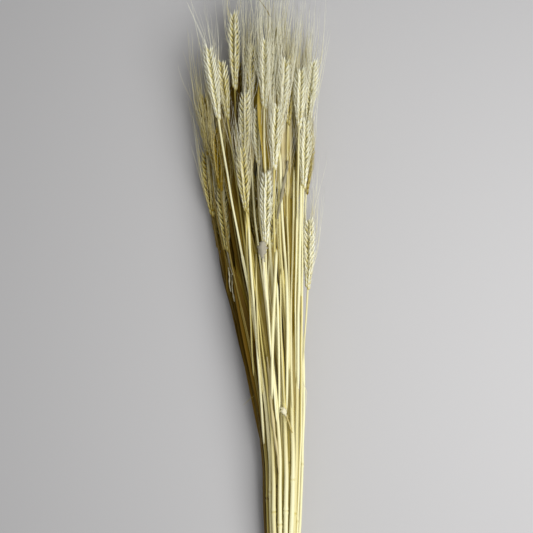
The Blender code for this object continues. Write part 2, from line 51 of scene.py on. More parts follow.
bunch = {
    "seed": 41,
    "cutEndY": -408 * mm,
    "cutSpread": 16 * mm,
    "tieY": -338 * mm,
    "tieX": 16 * mm,
    "tieLayers": 3,
    "stemPitch": 5.25 * mm,
    "fan": 3.0,
    "bendY": -215 * mm,
    "gap": 0.3 * mm,
    "ringStep": 66 * mm,
    "tieStations": 3,
    "rounds": 700,
    "step": 5 * mm,
    "settleGap": 0.45 * mm,
    "push": 4,
    "most": 1.5 * mm,
    "straighten": 0.12,
    "back": 0.02,
    "fade": 1.6,
    "stemRadius": 2.475 * mm,
    "upperRadius": 1.5 * mm,
    "neckRadius": 1.15 * mm,
    "jointShare": (0.24, 0.34),
    "sheathShare": (0.62, 0.80),
    "jointSwell": 1.14,
    "jointHalf": 3.5 * mm,
    "sheathTaper": 0.88,
    "sheathStep": 2 * mm,
    "earRadius": 7.0 * mm,
    "earSwell": ((0.0, 0.55), (0.12, 0.86), (0.35, 1.0), (0.62, 0.97), (0.84, 0.76), (1.0, 0.42)),
    # ears that show from above, in mm: base x, base y, point x, point y, height
    "seenEars": (
        (-53, 158, -64, 234, 56), (-38, 192, -38, 273, 40), (-42, 160, -49, 221, 40), (-19, 183, -17, 238, 46),
        (-4, 169, -3, 241, 60), (4, 160, 3, 236, 46), (7, 201, 9, 258, 34), (12, 155, 17, 221, 56),
        (7, 104, 10, 171, 62), (-12, 110, -12, 169, 50), (-24, 115, -24, 185, 56), (22, 154, 25, 228, 38),
        (35, 150, 37, 212, 44), (40, 150, 48, 223, 30), (37, 86, 39, 158, 40), (-22, 58, -27, 126, 60),
        (-2, 25, -1, 99, 64), (3, 22, 12, 88, 44), (42, -23, 43, 51, 30), (-64, 120, -70, 185, 30),
        (-58, 56, -66, 126, 22), (-47, 18, -54, 88, 24), (-51, 83, -57, 147, 44), (-38, 61, -43, 126, 36),
    ),
    "hiddenX": (-58 * mm, 46 * mm),
    "hiddenBaseY": (20 * mm, 168 * mm),
    "hiddenHeight": (8 * mm, 23 * mm),
    "hiddenLength": (62 * mm, 76 * mm),
    "hiddenLean": 1.3,
}
raffia = {
    "thick": 0.7 * mm,
    "wide": 9 * mm,
    "turns": 3,
    "slip": 2.4 * mm,
    "tail": (24 * mm, 4.5 * mm),  # length and width
    "tailTurns": (35, 152),
    "tailLift": 5,
}
tieY, bendY, pitch = (bunch[name] for name in ("tieY", "bendY", "stemPitch"))


def curveAt(pairs, value):
    return np.interp(value, *zip(*pairs))


def hermite(t, start, end, leave, arrive):
    # cubic sweep from start to end, as t goes from 0 to 1, with the slopes at which it leaves and arrives
    place = (2 * t**3 - 3 * t**2 + 1) * start + (3 * t**2 - 2 * t**3) * end
    return place + (t**3 - 2 * t**2 + t) * leave + (t**3 - t**2) * arrive


def tieSlots():
    # hexagonal pack: x = pitch * (step + row / 2), z = pitch * row * sqrt(3) / 2
    layers = bunch["tieLayers"]
    places = range(-layers, layers + 1)
    return np.array([(pitch * (step + row / 2), pitch * row * math.sqrt(3) / 2)
                     for row in places for step in places if abs(row + step) <= layers])


def allEars(count, draw):
    seen = np.array(bunch["seenEars"], float) * mm
    bases, points = [row[[0, 1, 4]] for row in seen], [row[[2, 3, 4]] for row in seen]
    hidden, golden = count - len(seen), (math.sqrt(5) - 1) / 2
    for index in range(hidden):
        x = np.interp((index + 0.5) / hidden, (0, 1), bunch["hiddenX"])
        y = np.interp((index * golden) % 1, (0, 1), bunch["hiddenBaseY"])
        z, length = bunch["hiddenHeight"][index % 2], draw.uniform(*bunch["hiddenLength"])
        bases.append((x, y, z))
        points.append((x + length * bunch["hiddenLean"] * x, y + length, z))
    return np.array(bases), np.array(points)


def matchedSlots(slots, places):
    # slots are traded in pairs for as long as a trade leaves the stems straighter
    want = (places - places.mean(axis=0)) * slots.std(axis=0) / places.std(axis=0)
    chosen = np.empty(len(slots), int)
    chosen[np.lexsort((want[:, 1], want[:, 0]))] = np.lexsort((slots[:, 1], slots[:, 0]))
    better = True
    while better:
        better = False
        for one in range(len(chosen)):
            for other in range(one):
                gain = np.dot(slots[chosen[one]] - slots[chosen[other]], want[one] - want[other])
                if gain < -1e-12:
                    chosen[one], chosen[other] = chosen[other], chosen[one]
                    better = True
    return slots[chosen]


dice = np.random.default_rng
draw = dice(bunch["seed"])
tiePlaces = tieSlots()
stalks = len(tiePlaces)
earBase, earPoint = allEars(stalks, draw)
slots = matchedSlots(tiePlaces, (earBase[:, [0, 2]] + earPoint[:, [0, 2]]) / 2)
cutY = bunch["cutEndY"] + draw.uniform(0, bunch["cutSpread"], stalks)
stemLength = earBase[:, 1] - cutY
jointY = cutY + stemLength * draw.uniform(*bunch["jointShare"], stalks)
sheathY = cutY + stemLength * draw.uniform(*bunch["sheathShare"], stalks)
stationY = np.concatenate((
    [bunch["cutEndY"], tieY - raffia["wide"], tieY + raffia["wide"]],
    np.arange(tieY + bunch["ringStep"], earPoint[:, 1].max() + bunch["ringStep"], bunch["ringStep"]),
))
tieRise = raffia["thick"] * raffia["turns"] + bunch["gap"] + bunch["stemRadius"] - slots[:, 1].min()
tieMiddle = (bunch["tieX"], tieRise)


def aimedPaths():
    # straight out of the tie, then one Hermite sweep to the ear, then straight along it
    ys, wide = stationY, raffia["wide"]
    raised = slots + (0, tieMiddle[1])
    paths = np.empty((stalks, len(ys), 2))
    for stalk, (slot, base, point) in enumerate(zip(raised, earBase, earPoint)):
        fan = 1 + bunch["fan"] * np.clip(ys - tieY - wide, -wide, None)[:, None]
        low = (tieMiddle[0], 0) + slot * fan
        start = (tieMiddle[0], 0) + slot * (1 + bunch["fan"] * (bendY - tieY - wide))
        end, lean = base[[0, 2]], (point - base)[[0, 2]] / (point[1] - base[1])
        span = base[1] - bendY
        t = np.clip((ys - bendY) / span, 0, 1)[:, None]
        sweep = hermite(t, start, end, span * slot * bunch["fan"], span * lean)
        ear = end + (ys[:, None] - base[1]) * lean
        inEar, inTie = (ys > base[1])[:, None], (ys < bendY)[:, None]
        paths[stalk] = np.where(inEar, ear, np.where(inTie, low, sweep))
    return paths


def stemProfile(stalk):
    radius, half = bunch["stemRadius"], bunch["jointHalf"]
    cut, joint, sheath, base = cutY[stalk], jointY[stalk], sheathY[stalk], earBase[stalk, 1]
    return (
        (cut, joint - half, joint, joint + half, sheath, sheath + bunch["sheathStep"], base),
        (radius, radius, radius * bunch["jointSwell"], radius, radius * bunch["sheathTaper"], bunch["upperRadius"],
         bunch["neckRadius"]),
    )


def earRadius(stalk, ys):
    share = (ys - earBase[stalk, 1]) / (earPoint[stalk, 1] - earBase[stalk, 1])
    return bunch["earRadius"] * curveAt(bunch["earSwell"], share)


def outerRadius(stalk, ys, margin=0.0):
    base, point = earBase[stalk, 1], earPoint[stalk, 1]
    stem = np.interp(ys, *stemProfile(stalk))
    ear = np.where((ys > base - margin) & (ys < point + margin), earRadius(stalk, ys), 0)
    out = (ys < cutY[stalk] - margin) | (ys > point + margin)
    return np.where(out, -1.0, np.maximum(np.where(ys <= base, stem, 0), ear))


def settledPaths(place):
    # rounds of small moves: stalks that are too close push each other apart, and the surface pushes them up
    fine = np.arange(stationY[0], stationY[-1], bunch["step"])
    hats = np.stack([np.interp(fine, stationY, row) for row in np.eye(len(stationY))], axis=1)
    share = hats / np.maximum(hats.sum(axis=0), 1e-9)
    radius = np.stack([outerRadius(stalk, fine, bunch["step"]) for stalk in range(stalks)])
    reach = radius[:, None] + radius[None] + bunch["settleGap"]
    reach[np.minimum(radius[:, None], radius[None]) < 0] = 0
    reach[np.arange(stalks), np.arange(stalks)] = 0
    free = (np.arange(len(stationY)) >= bunch["tieStations"])[None, :, None]
    aim = place.copy()
    for turn in range(bunch["rounds"]):
        pull = max(0.0, 1 - bunch["fade"] * turn / bunch["rounds"])
        here = hats @ place
        apart = here[:, None] - here[None]
        far = np.sqrt((apart**2).sum(axis=-1)) + 1e-9
        short = np.clip(reach - far, 0, None)
        push = (apart / far[..., None] * short[..., None]).sum(axis=1) * 0.5
        push[..., 1] += np.where(radius > 0, np.clip(radius - here[..., 1], 0, None), 0)
        push = np.einsum("fc,nfd->ncd", share, push) * bunch["push"]
        move = np.clip(push, -bunch["most"], bunch["most"])
        drift = place - aim
        bend = np.zeros_like(drift)
        bend[:, 1:-1] = drift[:, 2:] + drift[:, :-2] - 2 * drift[:, 1:-1]
        move += pull * (bunch["straighten"] * bend - bunch["back"] * drift)
        place += np.where(free, move, 0)
    return place


stationPlace = settledPaths(aimedPaths())
tieWide = raffia["wide"] + (raffia["turns"] - 1) * raffia["slip"]
flatMiddle = Vector((bunch["tieX"], tieY - tieWide / 2 + raffia["wide"] / 2, 0))
shift = np.array(Vector(frame["record"]["mounts"][0]["pos_m"]) - flatMiddle)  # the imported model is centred
print("layout:", stalks, "stalks, moved by", np.round(shift / mm, 2), "mm")


def columns(*values):
    return np.stack(np.broadcast_arrays(*values), axis=-1)


def centreLine(stalk, ys):
    # Catmull-Rom curve through the stations, as x and z over y
    ys, stations = np.asarray(ys, float), stationPlace[stalk]
    gone = np.clip(np.searchsorted(stationY, ys, side="right") - 1, 0, len(stationY) - 2)
    slope = np.gradient(stations, stationY, axis=0)
    span = (stationY[gone + 1] - stationY[gone])[:, None]
    t = (ys - stationY[gone])[:, None] / span
    place = hermite(t, stations[gone], stations[gone + 1], span * slope[gone], span * slope[gone + 1])
    return columns(place[:, 0], ys, place[:, 1]) + shift


def unit(vectors):
    return vectors / np.linalg.norm(vectors, axis=-1, keepdims=True)


def squareTo(way, vectors):
    return unit(vectors - (vectors * way).sum(-1, keepdims=True) * way)


def lineFrames(stalk, ys, reach=4 * mm):
    # the way along the stalk, sideways (as near to +X as it can be) and up
    along = unit(centreLine(stalk, ys + reach) - centreLine(stalk, ys - reach))
    side = squareTo(along, np.array((1.0, 0, 0)))
    return along, side, np.cross(side, along)


def drawnLine(places, rows, rounds):
    # rows at even steps on the line through the places, then rounds of (before + 2 * here + after) / 4
    u = np.linspace(0, len(places) - 1, rows)
    line = columns(*(np.interp(u, np.arange(len(places)), values) for values in places.T))
    for _ in range(rounds):
        line[1:-1] = (line[:-2] + 2 * line[1:-1] + line[2:]) / 4
    return line


# surfaces: profiles carried along paths, worked out as whole arrays

def swept(path, side, up, across, high):
    # point = path + across * side + high * up
    return path[..., None, :] + across[..., None] * side[..., None, :] + high[..., None] * up[..., None, :]


def carried(path, side, up, across, high, along, tone, look):
    # a swept surface for every path, closed by the first and last places of the path, which are poles
    if path.ndim == 2:
        path, side, up = path[None], side[None], up[None]
    count, rows, sides = len(path), path.shape[1] - 2, across.shape[-1]
    along = np.broadcast_to(along, path.shape[:2])
    rings = swept(path[:, 1:-1], side, up, across, high)
    points = np.concatenate((rings.reshape(count, rows * sides, 3), path[:, :1], path[:, -1:]), axis=1)
    spread = np.concatenate((np.repeat(along[:, 1:-1], sides, axis=1), along[:, :1], along[:, -1:]), axis=1)
    turn = np.arange(sides)
    after, low, last = (turn + 1) % sides, np.arange(rows - 1)[:, None] * sides, (rows - 1) * sides
    quads = columns(low + turn, low + sides + turn, low + sides + after, low + after).reshape(-1, 4)
    tris = np.vstack((columns(turn, after, rows * sides), columns(last + after, last + turn, rows * sides + 1)))
    triTurns = np.vstack((columns(turn, turn + 1, turn + 0.5), columns(turn + 1, turn, turn + 0.5))) / sides
    offset = (np.arange(count) * (rows * sides + 2))[:, None, None]
    return {
        "points": points.reshape(-1, 3),
        "along": spread.ravel(),
        "tone": np.broadcast_to(np.reshape(tone, (-1, 1)), spread.shape).ravel(),
        "quads": (quads + offset).reshape(-1, 4),
        "tris": (tris + offset).reshape(-1, 3),
        "quadTurns": np.tile(columns(turn, turn, turn + 1, turn + 1), (count * (rows - 1), 1)) / sides,
        "triTurns": np.tile(triTurns, (count, 1)),
        "look": look,
    }


def ringOf(sides):
    a = np.arange(sides) / sides * math.tau
    return np.stack((np.cos(a), np.sin(a)))[:, None]


def roundPart(line, radius, sides, along, tone, look):
    # a round strand: across = radius * cos a, high = radius * sin a, with its side kept level
    way = unit(np.gradient(line, axis=0))[1:-1]
    side = unit(np.cross(way, (0, 0, 1.0)))
    return carried(line, side, np.cross(side, way), *(radius[:, None] * ringOf(sides)), along, tone, look)


def sheetPart(grid, thick, tone, look, share):
    # a thin closed shell: point = grid point +- half the thickness along the surface's own normal
    rows, cols = grid.shape[:2]
    normal = unit(np.cross(np.gradient(grid, axis=1), np.gradient(grid, axis=0)) + 1e-12)
    lift = normal * thick / 2 * np.sin(np.linspace(0.15, math.pi - 0.15, cols))[None, :, None]
    points = np.vstack([face.reshape(-1, 3) for face in (grid + lift, grid - lift)])
    low = (np.arange(rows - 1)[:, None] * cols + np.arange(cols - 1)).ravel()
    top = columns(low, low + 1, low + cols + 1, low + cols)
    rim = np.concatenate((
        np.arange(cols - 1), cols - 1 + np.arange(rows - 1) * cols,
        rows * cols - 1 - np.arange(cols - 1), (rows - 1 - np.arange(rows - 1)) * cols,
    ))
    after = np.roll(rim, -1)
    edge = columns(after, rim, rim + rows * cols, after + rows * cols)
    quads = np.vstack((top, top[:, ::-1] + rows * cols, edge))
    return {
        "points": points,
        "along": np.tile(np.repeat(share, cols), 2),
        "tone": np.full(len(points), tone),
        "quads": quads,
        "tris": np.empty((0, 3), int),
        "quadTurns": np.tile(np.linspace(0, 1, cols), 2 * rows)[quads],
        "triTurns": np.empty((0, 3)),
        "look": look,
    }


def placed(name, data):
    thing = bpy.data.objects.new(name, data)
    scene.collection.objects.link(thing)
    return thing


def joined(name, parts, looks, node):
    # one mesh of all the parts, with a uv of (turn, distance along) and the tone of every point
    starts = np.cumsum([0] + [len(part["points"]) for part in parts[:-1]])
    quads, tris = (np.vstack([part[key] + start for part, start in zip(parts, starts)]) for key in ("quads", "tris"))
    points, along, tones = (np.concatenate([part[key] for part in parts]) for key in ("points", "along", "tone"))
    turns = np.concatenate([part[key].ravel() for key in ("quadTurns", "triTurns") for part in parts])
    used = np.concatenate([np.full(len(part[key]), part["look"]) for key in ("quads", "tris") for part in parts])
    mesh = bpy.data.meshes.new(name)
    mesh.from_pydata(points.tolist(), [], quads.tolist() + tris.tolist())
    corners = np.concatenate((quads.ravel(), tris.ravel()))
    mesh.uv_layers.new(name="surface").data.foreach_set("uv", columns(turns, along[corners]).ravel())
    mesh.attributes.new("tone", "FLOAT", "POINT").data.foreach_set("value", tones)
    mesh.polygons.foreach_set("material_index", used)
    mesh.polygons.foreach_set("use_smooth", np.ones(len(used), bool))
    for look in looks:
        mesh.materials.append(look)
    mesh.update()
    piece = placed(name, mesh)
    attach(piece, "root")
    if node:
        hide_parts(node)
    return piece


# finishes

def feed(tree, socket, value):
    # a number or a colour is set on the socket, and another node's socket is linked to it
    if isinstance(value, bpy.types.NodeSocket):
        tree.links.new(value, socket)
    else:
        socket.default_value = (*value, 1) if isinstance(value, tuple) else value


def addNode(tree, kind, values=(), **settings):
    node = tree.nodes.new("ShaderNode" + kind)
    for name, setting in settings.items():
        setattr(node, name, setting)
    for key, value in values:
        feed(tree, node.inputs[key], value)
    return node


def setInputs(owner, node, values):
    owner.use_nodes = True
    for name, value in values:
        feed(owner.node_tree, owner.node_tree.nodes[node].inputs[name], value)


def mathNode(tree, operation, *values):
    return addNode(tree, "Math", enumerate(values), operation=operation).outputs[0]


def mixNode(tree, share, one, other):
    return addNode(tree, "Mix", ((0, share), (6, one), (7, other)), data_type="RGBA").outputs[2]


def rangeNode(tree, value, low, high, toLow=0.0, toHigh=1.0):
    return addNode(tree, "MapRange", enumerate((value, low, high, toLow, toHigh))).outputs[0]


def newGroup(name, *sockets):
    tree = bpy.data.node_groups.new(name, "ShaderNodeTree")
    for way, kind, labels in sockets:
        for label in labels.split():
            tree.interface.new_socket(label, in_out=way, socket_type="NodeSocket" + kind)
    return tree, tree.nodes.new("NodeGroupInput").outputs, tree.nodes.new("NodeGroupOutput").inputs


def makeFibreGroup():
    # long fibres: noise on a cylinder (cos turn, sin turn, along), drawn out along the straw
    tree, given, out = newGroup(
        "strawFibres", ("INPUT", "Vector", "Surface"), ("INPUT", "Float", "Tone Fibres Along"),
        ("OUTPUT", "Float", "Streak Mottle"),
    )
    apart = addNode(tree, "SeparateXYZ", ((0, given["Surface"]),)).outputs
    turn = mathNode(tree, "MULTIPLY", apart[0], math.tau)
    seat = mathNode(tree, "MULTIPLY", given["Tone"], 173.0)
    ways = [mathNode(tree, wave, turn) for wave in ("COSINE", "SINE")]
    for label, fibres, along in (("Streak", given["Fibres"], given["Along"]), ("Mottle", 0.8, 45.0)):
        place = [mathNode(tree, "MULTIPLY_ADD", way, fibres, seat) for way in ways]
        place = addNode(tree, "CombineXYZ", enumerate(place + [mathNode(tree, "MULTIPLY", apart[1], along)]))
        noise = (("Vector", place.outputs[0]), ("Scale", 1.0), ("Detail", 3.0), ("Roughness", 0.6))
        feed(tree, out[label], addNode(tree, "TexNoise", noise).outputs["Fac"])
    return tree


def makeBleachGroup():
    # colour from pale to golden to brown as the tone, the streaks and the mottling add up; the tone holds painted shade
    # as well as the straw's own colour
    tree, given, out = newGroup(
        "bleachedStraw", ("INPUT", "Float", "Streak Mottle Tone Streaks Mottling"),
        ("INPUT", "Color", "Pale Golden Brown"), ("OUTPUT", "Color", "Colour"), ("OUTPUT", "Float", "Age"),
    )
    ageAndShade = given["Tone"]
    for label, share in (("Streak", "Streaks"), ("Mottle", "Mottling")):
        ageAndShade = mathNode(tree, "MULTIPLY_ADD", mathNode(tree, "SUBTRACT", given[label], 0.5), given[share], ageAndShade)
    colour = mixNode(tree, rangeNode(tree, ageAndShade, 0.0, 0.6), given["Pale"], given["Golden"])
    feed(tree, out["Colour"], mixNode(tree, rangeNode(tree, ageAndShade, 0.6, 1.15), colour, given["Brown"]))
    feed(tree, out["Age"], ageAndShade)
    return tree


fibreGroup, bleachGroup = makeFibreGroup(), makeBleachGroup()
finishes = {
    # pale, golden, brown, streaks and mottling; fibres round and along; roughness; bump; coat
    "culmStraw": (
        ((0.94, 0.91, 0.58), (0.6, 0.5, 0.13), (0.1, 0.058, 0.002), 0.6, 0.4), (7, 14), (0.28, 0.5), 0.25, 0.25),
    "kernelHusk": (
        ((0.95, 0.958, 0.81), (0.64, 0.56, 0.2), (0.23, 0.15, 0.004), 0.5, 0.4), (3, 120), (0.42, 0.62), 0.3, 0),
    "awnBristle": (
        ((0.98, 0.98, 0.83), (0.7, 0.61, 0.27), (0.23, 0.16, 0.012), 0.3, 0.3), (1, 60), (0.45, 0.6), 0, 0),
    "dryLeaf": (((0.8, 0.76, 0.54), (0.46, 0.34, 0.04), (0.12, 0.068, 0.002), 0.8, 0.6), (5, 12), (0.5, 0.75), 0.4, 0),
    # grey leaf: a duller, deeper copy of the dry leaf for the flap and the scrap, partly their own grey and partly
    # painted shade
    "greyShadedLeaf": (((0.42, 0.39, 0.31), (0.3, 0.27, 0.16), (0.16, 0.12, 0.05), 0.6, 0.5), (5, 12), (0.55, 0.8), 0.4, 0),
    "raffiaFibre": (((0.7, 0.56, 0.34), (0.55, 0.4, 0.2), (0.3, 0.18, 0.07), 0.9, 0.5), (9, 50), (0.5, 0.72), 0.5, 0),
}


def makeFinish(name):
    ages, fibres, rough, bump, coat = finishes[name]
    look = bpy.data.materials.new(name)
    look.use_nodes = True
    tree = look.node_tree
    shader = tree.nodes["Principled BSDF"].inputs
    surface = ("Surface", addNode(tree, "UVMap", uv_map="surface").outputs["UV"])
    tone = ("Tone", addNode(tree, "Attribute", attribute_name="tone").outputs["Fac"])
    fibre = addNode(tree, "Group", [surface, tone, *zip(("Fibres", "Along"), fibres)], node_tree=fibreGroup).outputs
    given = [tone, *((label, fibre[label]) for label in ("Streak", "Mottle"))]
    given += zip(("Pale", "Golden", "Brown", "Streaks", "Mottling"), ages)
    bleach = addNode(tree, "Group", given, node_tree=bleachGroup).outputs
    feed(tree, shader["Base Color"], bleach["Colour"])
    feed(tree, shader["Roughness"], rangeNode(tree, fibre["Streak"], 0.3, 0.7, *rough))
    if coat:
        feed(tree, shader["Coat Weight"], rangeNode(tree, bleach["Age"], 0.2, 0.8, coat, 0.0))
    feed(tree, shader["Coat Roughness"], 0.3)
    feed(tree, shader["Specular IOR Level"], 0.25 if coat else 0.12)
    if bump:
        given = (("Strength", bump), ("Distance", 0.3 * mm), ("Height", fibre["Streak"]))
        feed(tree, shader["Normal"], addNode(tree, "Bump", given).outputs["Normal"])
    return look


looks = {name: makeFinish(name) for name in finishes}
stalkLooks = [looks[name] for name in ("culmStraw", "kernelHusk", "awnBristle", "dryLeaf", "greyShadedLeaf")]
culmLook, huskLook, awnLook, leafLook, greyShadedLook = range(5)
print("finishes:", len(looks))


# the stem, from its hollow cut end to the point of the ear

stem = {
    "sides": 14,
    "step": 6 * mm,
    "wall": 0.7,  # inner radius, as a share
    "hollow": 14 * mm,
    "jointRows": (-7, -5, -3.5, -2.2, -1.2, -0.5, 0.4, 1.2, 2.2, 3.5, 5.5),  # mm from the joint
    "jointLift": (0, 0.02, 0.1, 0.18, 0.16, 0.03, 0, 0.13, 0.16, 0.07, 0),
    "jointTone": (0.22, 1.6 * mm),  # added to the tone, and how far from the joint
    "sheathRows": (-8, -3, -0.6, 0.1, 1.4),
    "seam": 0.07,  # step where the leaf sheath laps over itself
    "inEar": 0.9 * mm,
    "wobble": (0.35 * mm, 170 * mm, 63 * mm),  # reach and the two wave lengths
    "tone": (-0.12, 0.24),
    "change": (-250 * mm, -120 * mm),  # lower down the tone follows the place in the tie, higher up the depth; both carry painted shade
    "ringShade": (1.2, 1.15, 1, 0),  # painted shade of the inner stems, by ring in the tie, from the middle stem outwards
    "depthShade": ((0, 0), (0.3, 0.1), (0.6, 0.7), (0.85, 1.05)),  # painted shade of the stems that lie deeper, by rank from the top one down to the lowest
    "leftShadeLow": ((1.3, 0), (2, 0.8), (3, 1.3)),  # painted shade on the side away from the light, by place, in the tie
    "leftShadeHigh": ((1.3, 0), (2, 1.1)),  # and above it, painted shade likewise
    "rightmost": 2.6,  # from this place towards the light the painted depth shade is left off, and all are pale
    "endTone": ((-395, 0.35), (-300, 1)),  # share of the tone, painted shade included, left towards the cut ends, by y in mm
    "own": {  # the tone of these stalks is set, below and above; the dark ones, such as 20 to 23 on the side away from the light, are painted shade
        1: (0.15, 0.05), 2: (1.15, 0.8), 3: (1.15, 0.7), 5: (0.75, 0.15), 6: (0.8, 0.4), 8: (-0.05, 0.45),
        9: (-0.05, 0.55), 11: (0.95, 0.8), 13: (0.2, 0.25), 14: (0.1, 0.05), 15: (0.1, 0.2), 16: (0.25, 0.6),
        17: (0.1, 0.25), 19: (0.25, 0.25), 20: (1.2, 1.1), 21: (1.2, 1.2), 22: (1.2, 1.1), 23: (0.95, 1.1),
        24: (1.1, 1.05),
    },
    "topRow": (8, 9, 16, 17),  # these keep the CAD's full girth
    "lapTone": 0.5,  # dark line along the edge of the leaf sheath
    "lineTone": 0.09,  # and fainter ones all round
    "girth": (0.7, 0.94),  # of the CAD's stem, below the joint
    "slim": (0.54, 0.82),  # and above the leaf sheath
    "bareTone": -0.06,  # added to the tone there
}
variety = dice(77)
halfway = np.array([centreLine(stalk, [-20 * mm])[0] for stalk in range(stalks)])
depthRank = np.argsort(np.argsort(-halfway[:, 2])) / (stalks - 1)
row = slots[:, 1] / (pitch * math.sqrt(3) / 2)
step = slots[:, 0] / pitch - row / 2
ring = np.max(np.abs((row, step, row + step)), axis=0).round().astype(int)
left = -slots[:, 0] / pitch - slots[:, 1] / pitch / 2
# each stalk's tone: its own random tone, then painted shade by ring in the tie, by depth and on the side away from the
# light
toneAndShadeLow = variety.uniform(*stem["tone"], stalks)
toneAndShadeHigh = toneAndShadeLow + np.where(left + row > -stem["rightmost"], curveAt(stem["depthShade"], depthRank), 0)
toneAndShadeHigh += curveAt(stem["leftShadeHigh"], left)
toneAndShadeLow += np.array(stem["ringShade"])[ring] + curveAt(stem["leftShadeLow"], left)
for number, tone in stem["own"].items():
    toneAndShadeLow[number - 1], toneAndShadeHigh[number - 1] = tone
waves = variety.uniform(0, math.tau, (stalks, 4))
girth, slim = variety.uniform(*stem["girth"], stalks), variety.uniform(*stem["slim"], stalks)
girth[np.array(stem["topRow"]) - 1] = 1


def wobble(stalk, ys):
    # two slow sine waves each way, which die out in the tie and in the ear
    calm = np.clip((ys - tieY - 20 * mm) / (80 * mm), 0, 1)
    calm *= np.clip((earBase[stalk, 1] - ys) / (60 * mm), 0, 1)
    slow, fast = (math.tau * ys / length for length in stem["wobble"][1:])
    x, z = (np.sin(slow + one) + 0.4 * np.sin(fast + other) for one, other in waves[stalk].reshape(2, 2))
    return stem["wobble"][0] * calm[:, None] * columns(x, 0, z)


def stemPart(stalk):
    # radius(y, turn) = profile(y) + joint ridges + a sawtooth in the turn where the sheath laps over
    cut, joint, sheath, base, point = cutY[stalk], jointY[stalk], sheathY[stalk], earBase[stalk, 1], earPoint[stalk, 1]
    jointRows, sides = np.array(stem["jointRows"]) * mm, stem["sides"]
    sheathRows = np.array(stem["sheathRows"]) * mm
    rows = np.arange(cut + stem["step"], point, stem["step"])
    rows = np.unique(np.concatenate((rows, joint + jointRows, sheath + sheathRows)).round(6))
    rows = rows[rows > cut + mm]
    profileY, profileR = np.array(stemProfile(stalk))[:, [0, 4, 5, 6]]
    outer = np.interp(rows, profileY, profileR) * (1 + np.interp(rows - joint, jointRows, stem["jointLift"]))
    ys = np.concatenate(([cut + stem["hollow"]] * 2, [cut, cut, cut + 0.2 * mm], rows, [point]))
    radius = np.concatenate((profileR[0] * np.array((stem["wall"], stem["wall"], 0.96, 1)), outer))
    path, within = centreLine(stalk, ys) + wobble(stalk, ys), ys[1:-1]
    radius[within > base] = stem["inEar"]
    thick, thin = girth[stalk], slim[stalk]
    radius *= np.interp(within, (tieY + 10 * mm, tieY + 70 * mm, joint + 10 * mm, sheath), (1, thick, thick, thin))
    radius *= np.interp(within, (sheath + 30 * mm, base), (1, 0.95 / thin))
    turn = np.arange(sides) / sides
    lap = np.where(within < sheath, stem["seam"], 0)[:, None] * (turn - 0.5)
    lap[:2] = 0
    spin, reach = math.tau * turn + waves[stalk, 0], radius[:, None] * (1 + lap)
    frames = lineFrames(stalk, within)[1:]
    part = carried(path, *frames, reach * np.cos(spin), reach * np.sin(spin), ys - cut, 0, culmLook)
    place = part["along"] + cut
    bare = place > sheath
    lines = dice(2000 + stalk).normal(0, stem["lineTone"], sides)
    lines[0] += stem["lapTone"]
    # tone along the stem: own tone and painted shade together, lowered towards the cut ends
    tone = np.interp(place, stem["change"], (toneAndShadeLow[stalk], toneAndShadeHigh[stalk])) * curveAt(stem["endTone"], place / mm)
    tone += np.concatenate((np.tile(lines, len(within)), (0, 0))) * np.where(bare, 0.3, 1) + bare * stem["bareTone"]
    tone += stem["jointTone"][0] * np.exp(-(((place - joint) / stem["jointTone"][1]) ** 2))
    part["tone"] = np.clip(tone, -0.15, 1.2)
    return part


# the ear: three kernels at each node, on one side and then the other, every kernel with its awn

ear = {
    "nodeStep": 2.75 * mm,
    "fan": 56,  # degrees between the middle kernel and its neighbours
    "roll": 16,  # the flat side of an ear faces up within this many degrees
    "length": 11.5 * mm,
    "halfWidth": 1.65 * mm,
    "halfThick": 1.35 * mm,
    "rows": (0, 0.05, 0.2, 0.4, 0.6, 0.8, 0.94, 1),
    "sides": 8,
    "root": 1.1 * mm,  # from the ear's middle to a kernel's base
    "tipShare": 1.1,  # and to its point, of the ear's radius
    "swell": ((0, 0.28), (0.12, 0.48), (0.35, 0.84), (0.6, 1), (0.82, 0.9), (1, 0.55)),  # reach of the points
    "drop": 5 * mm,  # how far a kernel starts below the place of its point
    "keel": 0.35,
    "flat": 0.55,
    "shade": ((0, 0.6), (0.32, 0.32), (0.6, 0), (1, -0.1)),  # added to the tone, from a kernel's base to its point: painted shade where the bases lie in the grooves between kernels, and partly the husk's own deeper colour at the base
    "tones": (  # of the ears that show, in their own order; the deep ones hold painted shade where the ear lies in shadow
        0, 0.18, 0.28, 0.3, 0, 0, 0.45, 0.05, 0.05, 0.1, 0.2, 0.5, 0, 0, 0, 0.35, 0, 0.35, 0.1, 0.75, 0.65, 0.5, 1.1,
        1.1,
    ),
    "hiddenShadeTones": (0.9, 0.65),  # painted shade of the lower and the upper hidden ears
    "sideShade": ((-50, 0.42), (0, 0), (30, -0.15)),  # painted shade away from the light and painted light towards it, added to these by x in mm
    "awns": (  # for each kernel, as some have broken off
        0.12, 0.2, 0.5, 1.4, 1, 1.2, 0.8, 0.9, 0.8, 0.6, 0.6, 0.8, 0.5, 0.5, 0.7, 0.7, 0.35, 0.3, 0.6, 0.9, 0.9, 0.8,
        1.1, 0.8,
    ),
    "hiddenAwns": 3,
    "bristle": (9 * mm, 17 * mm),  # thin bristle beside each kernel
    "bristleRows": (-0.05, 0, 0.35, 0.7, 1),
    "bristleRadius": (0.11 * mm, 0.05 * mm),
    "bristleLean": (4, 16),
}
shown = len(ear["tones"])
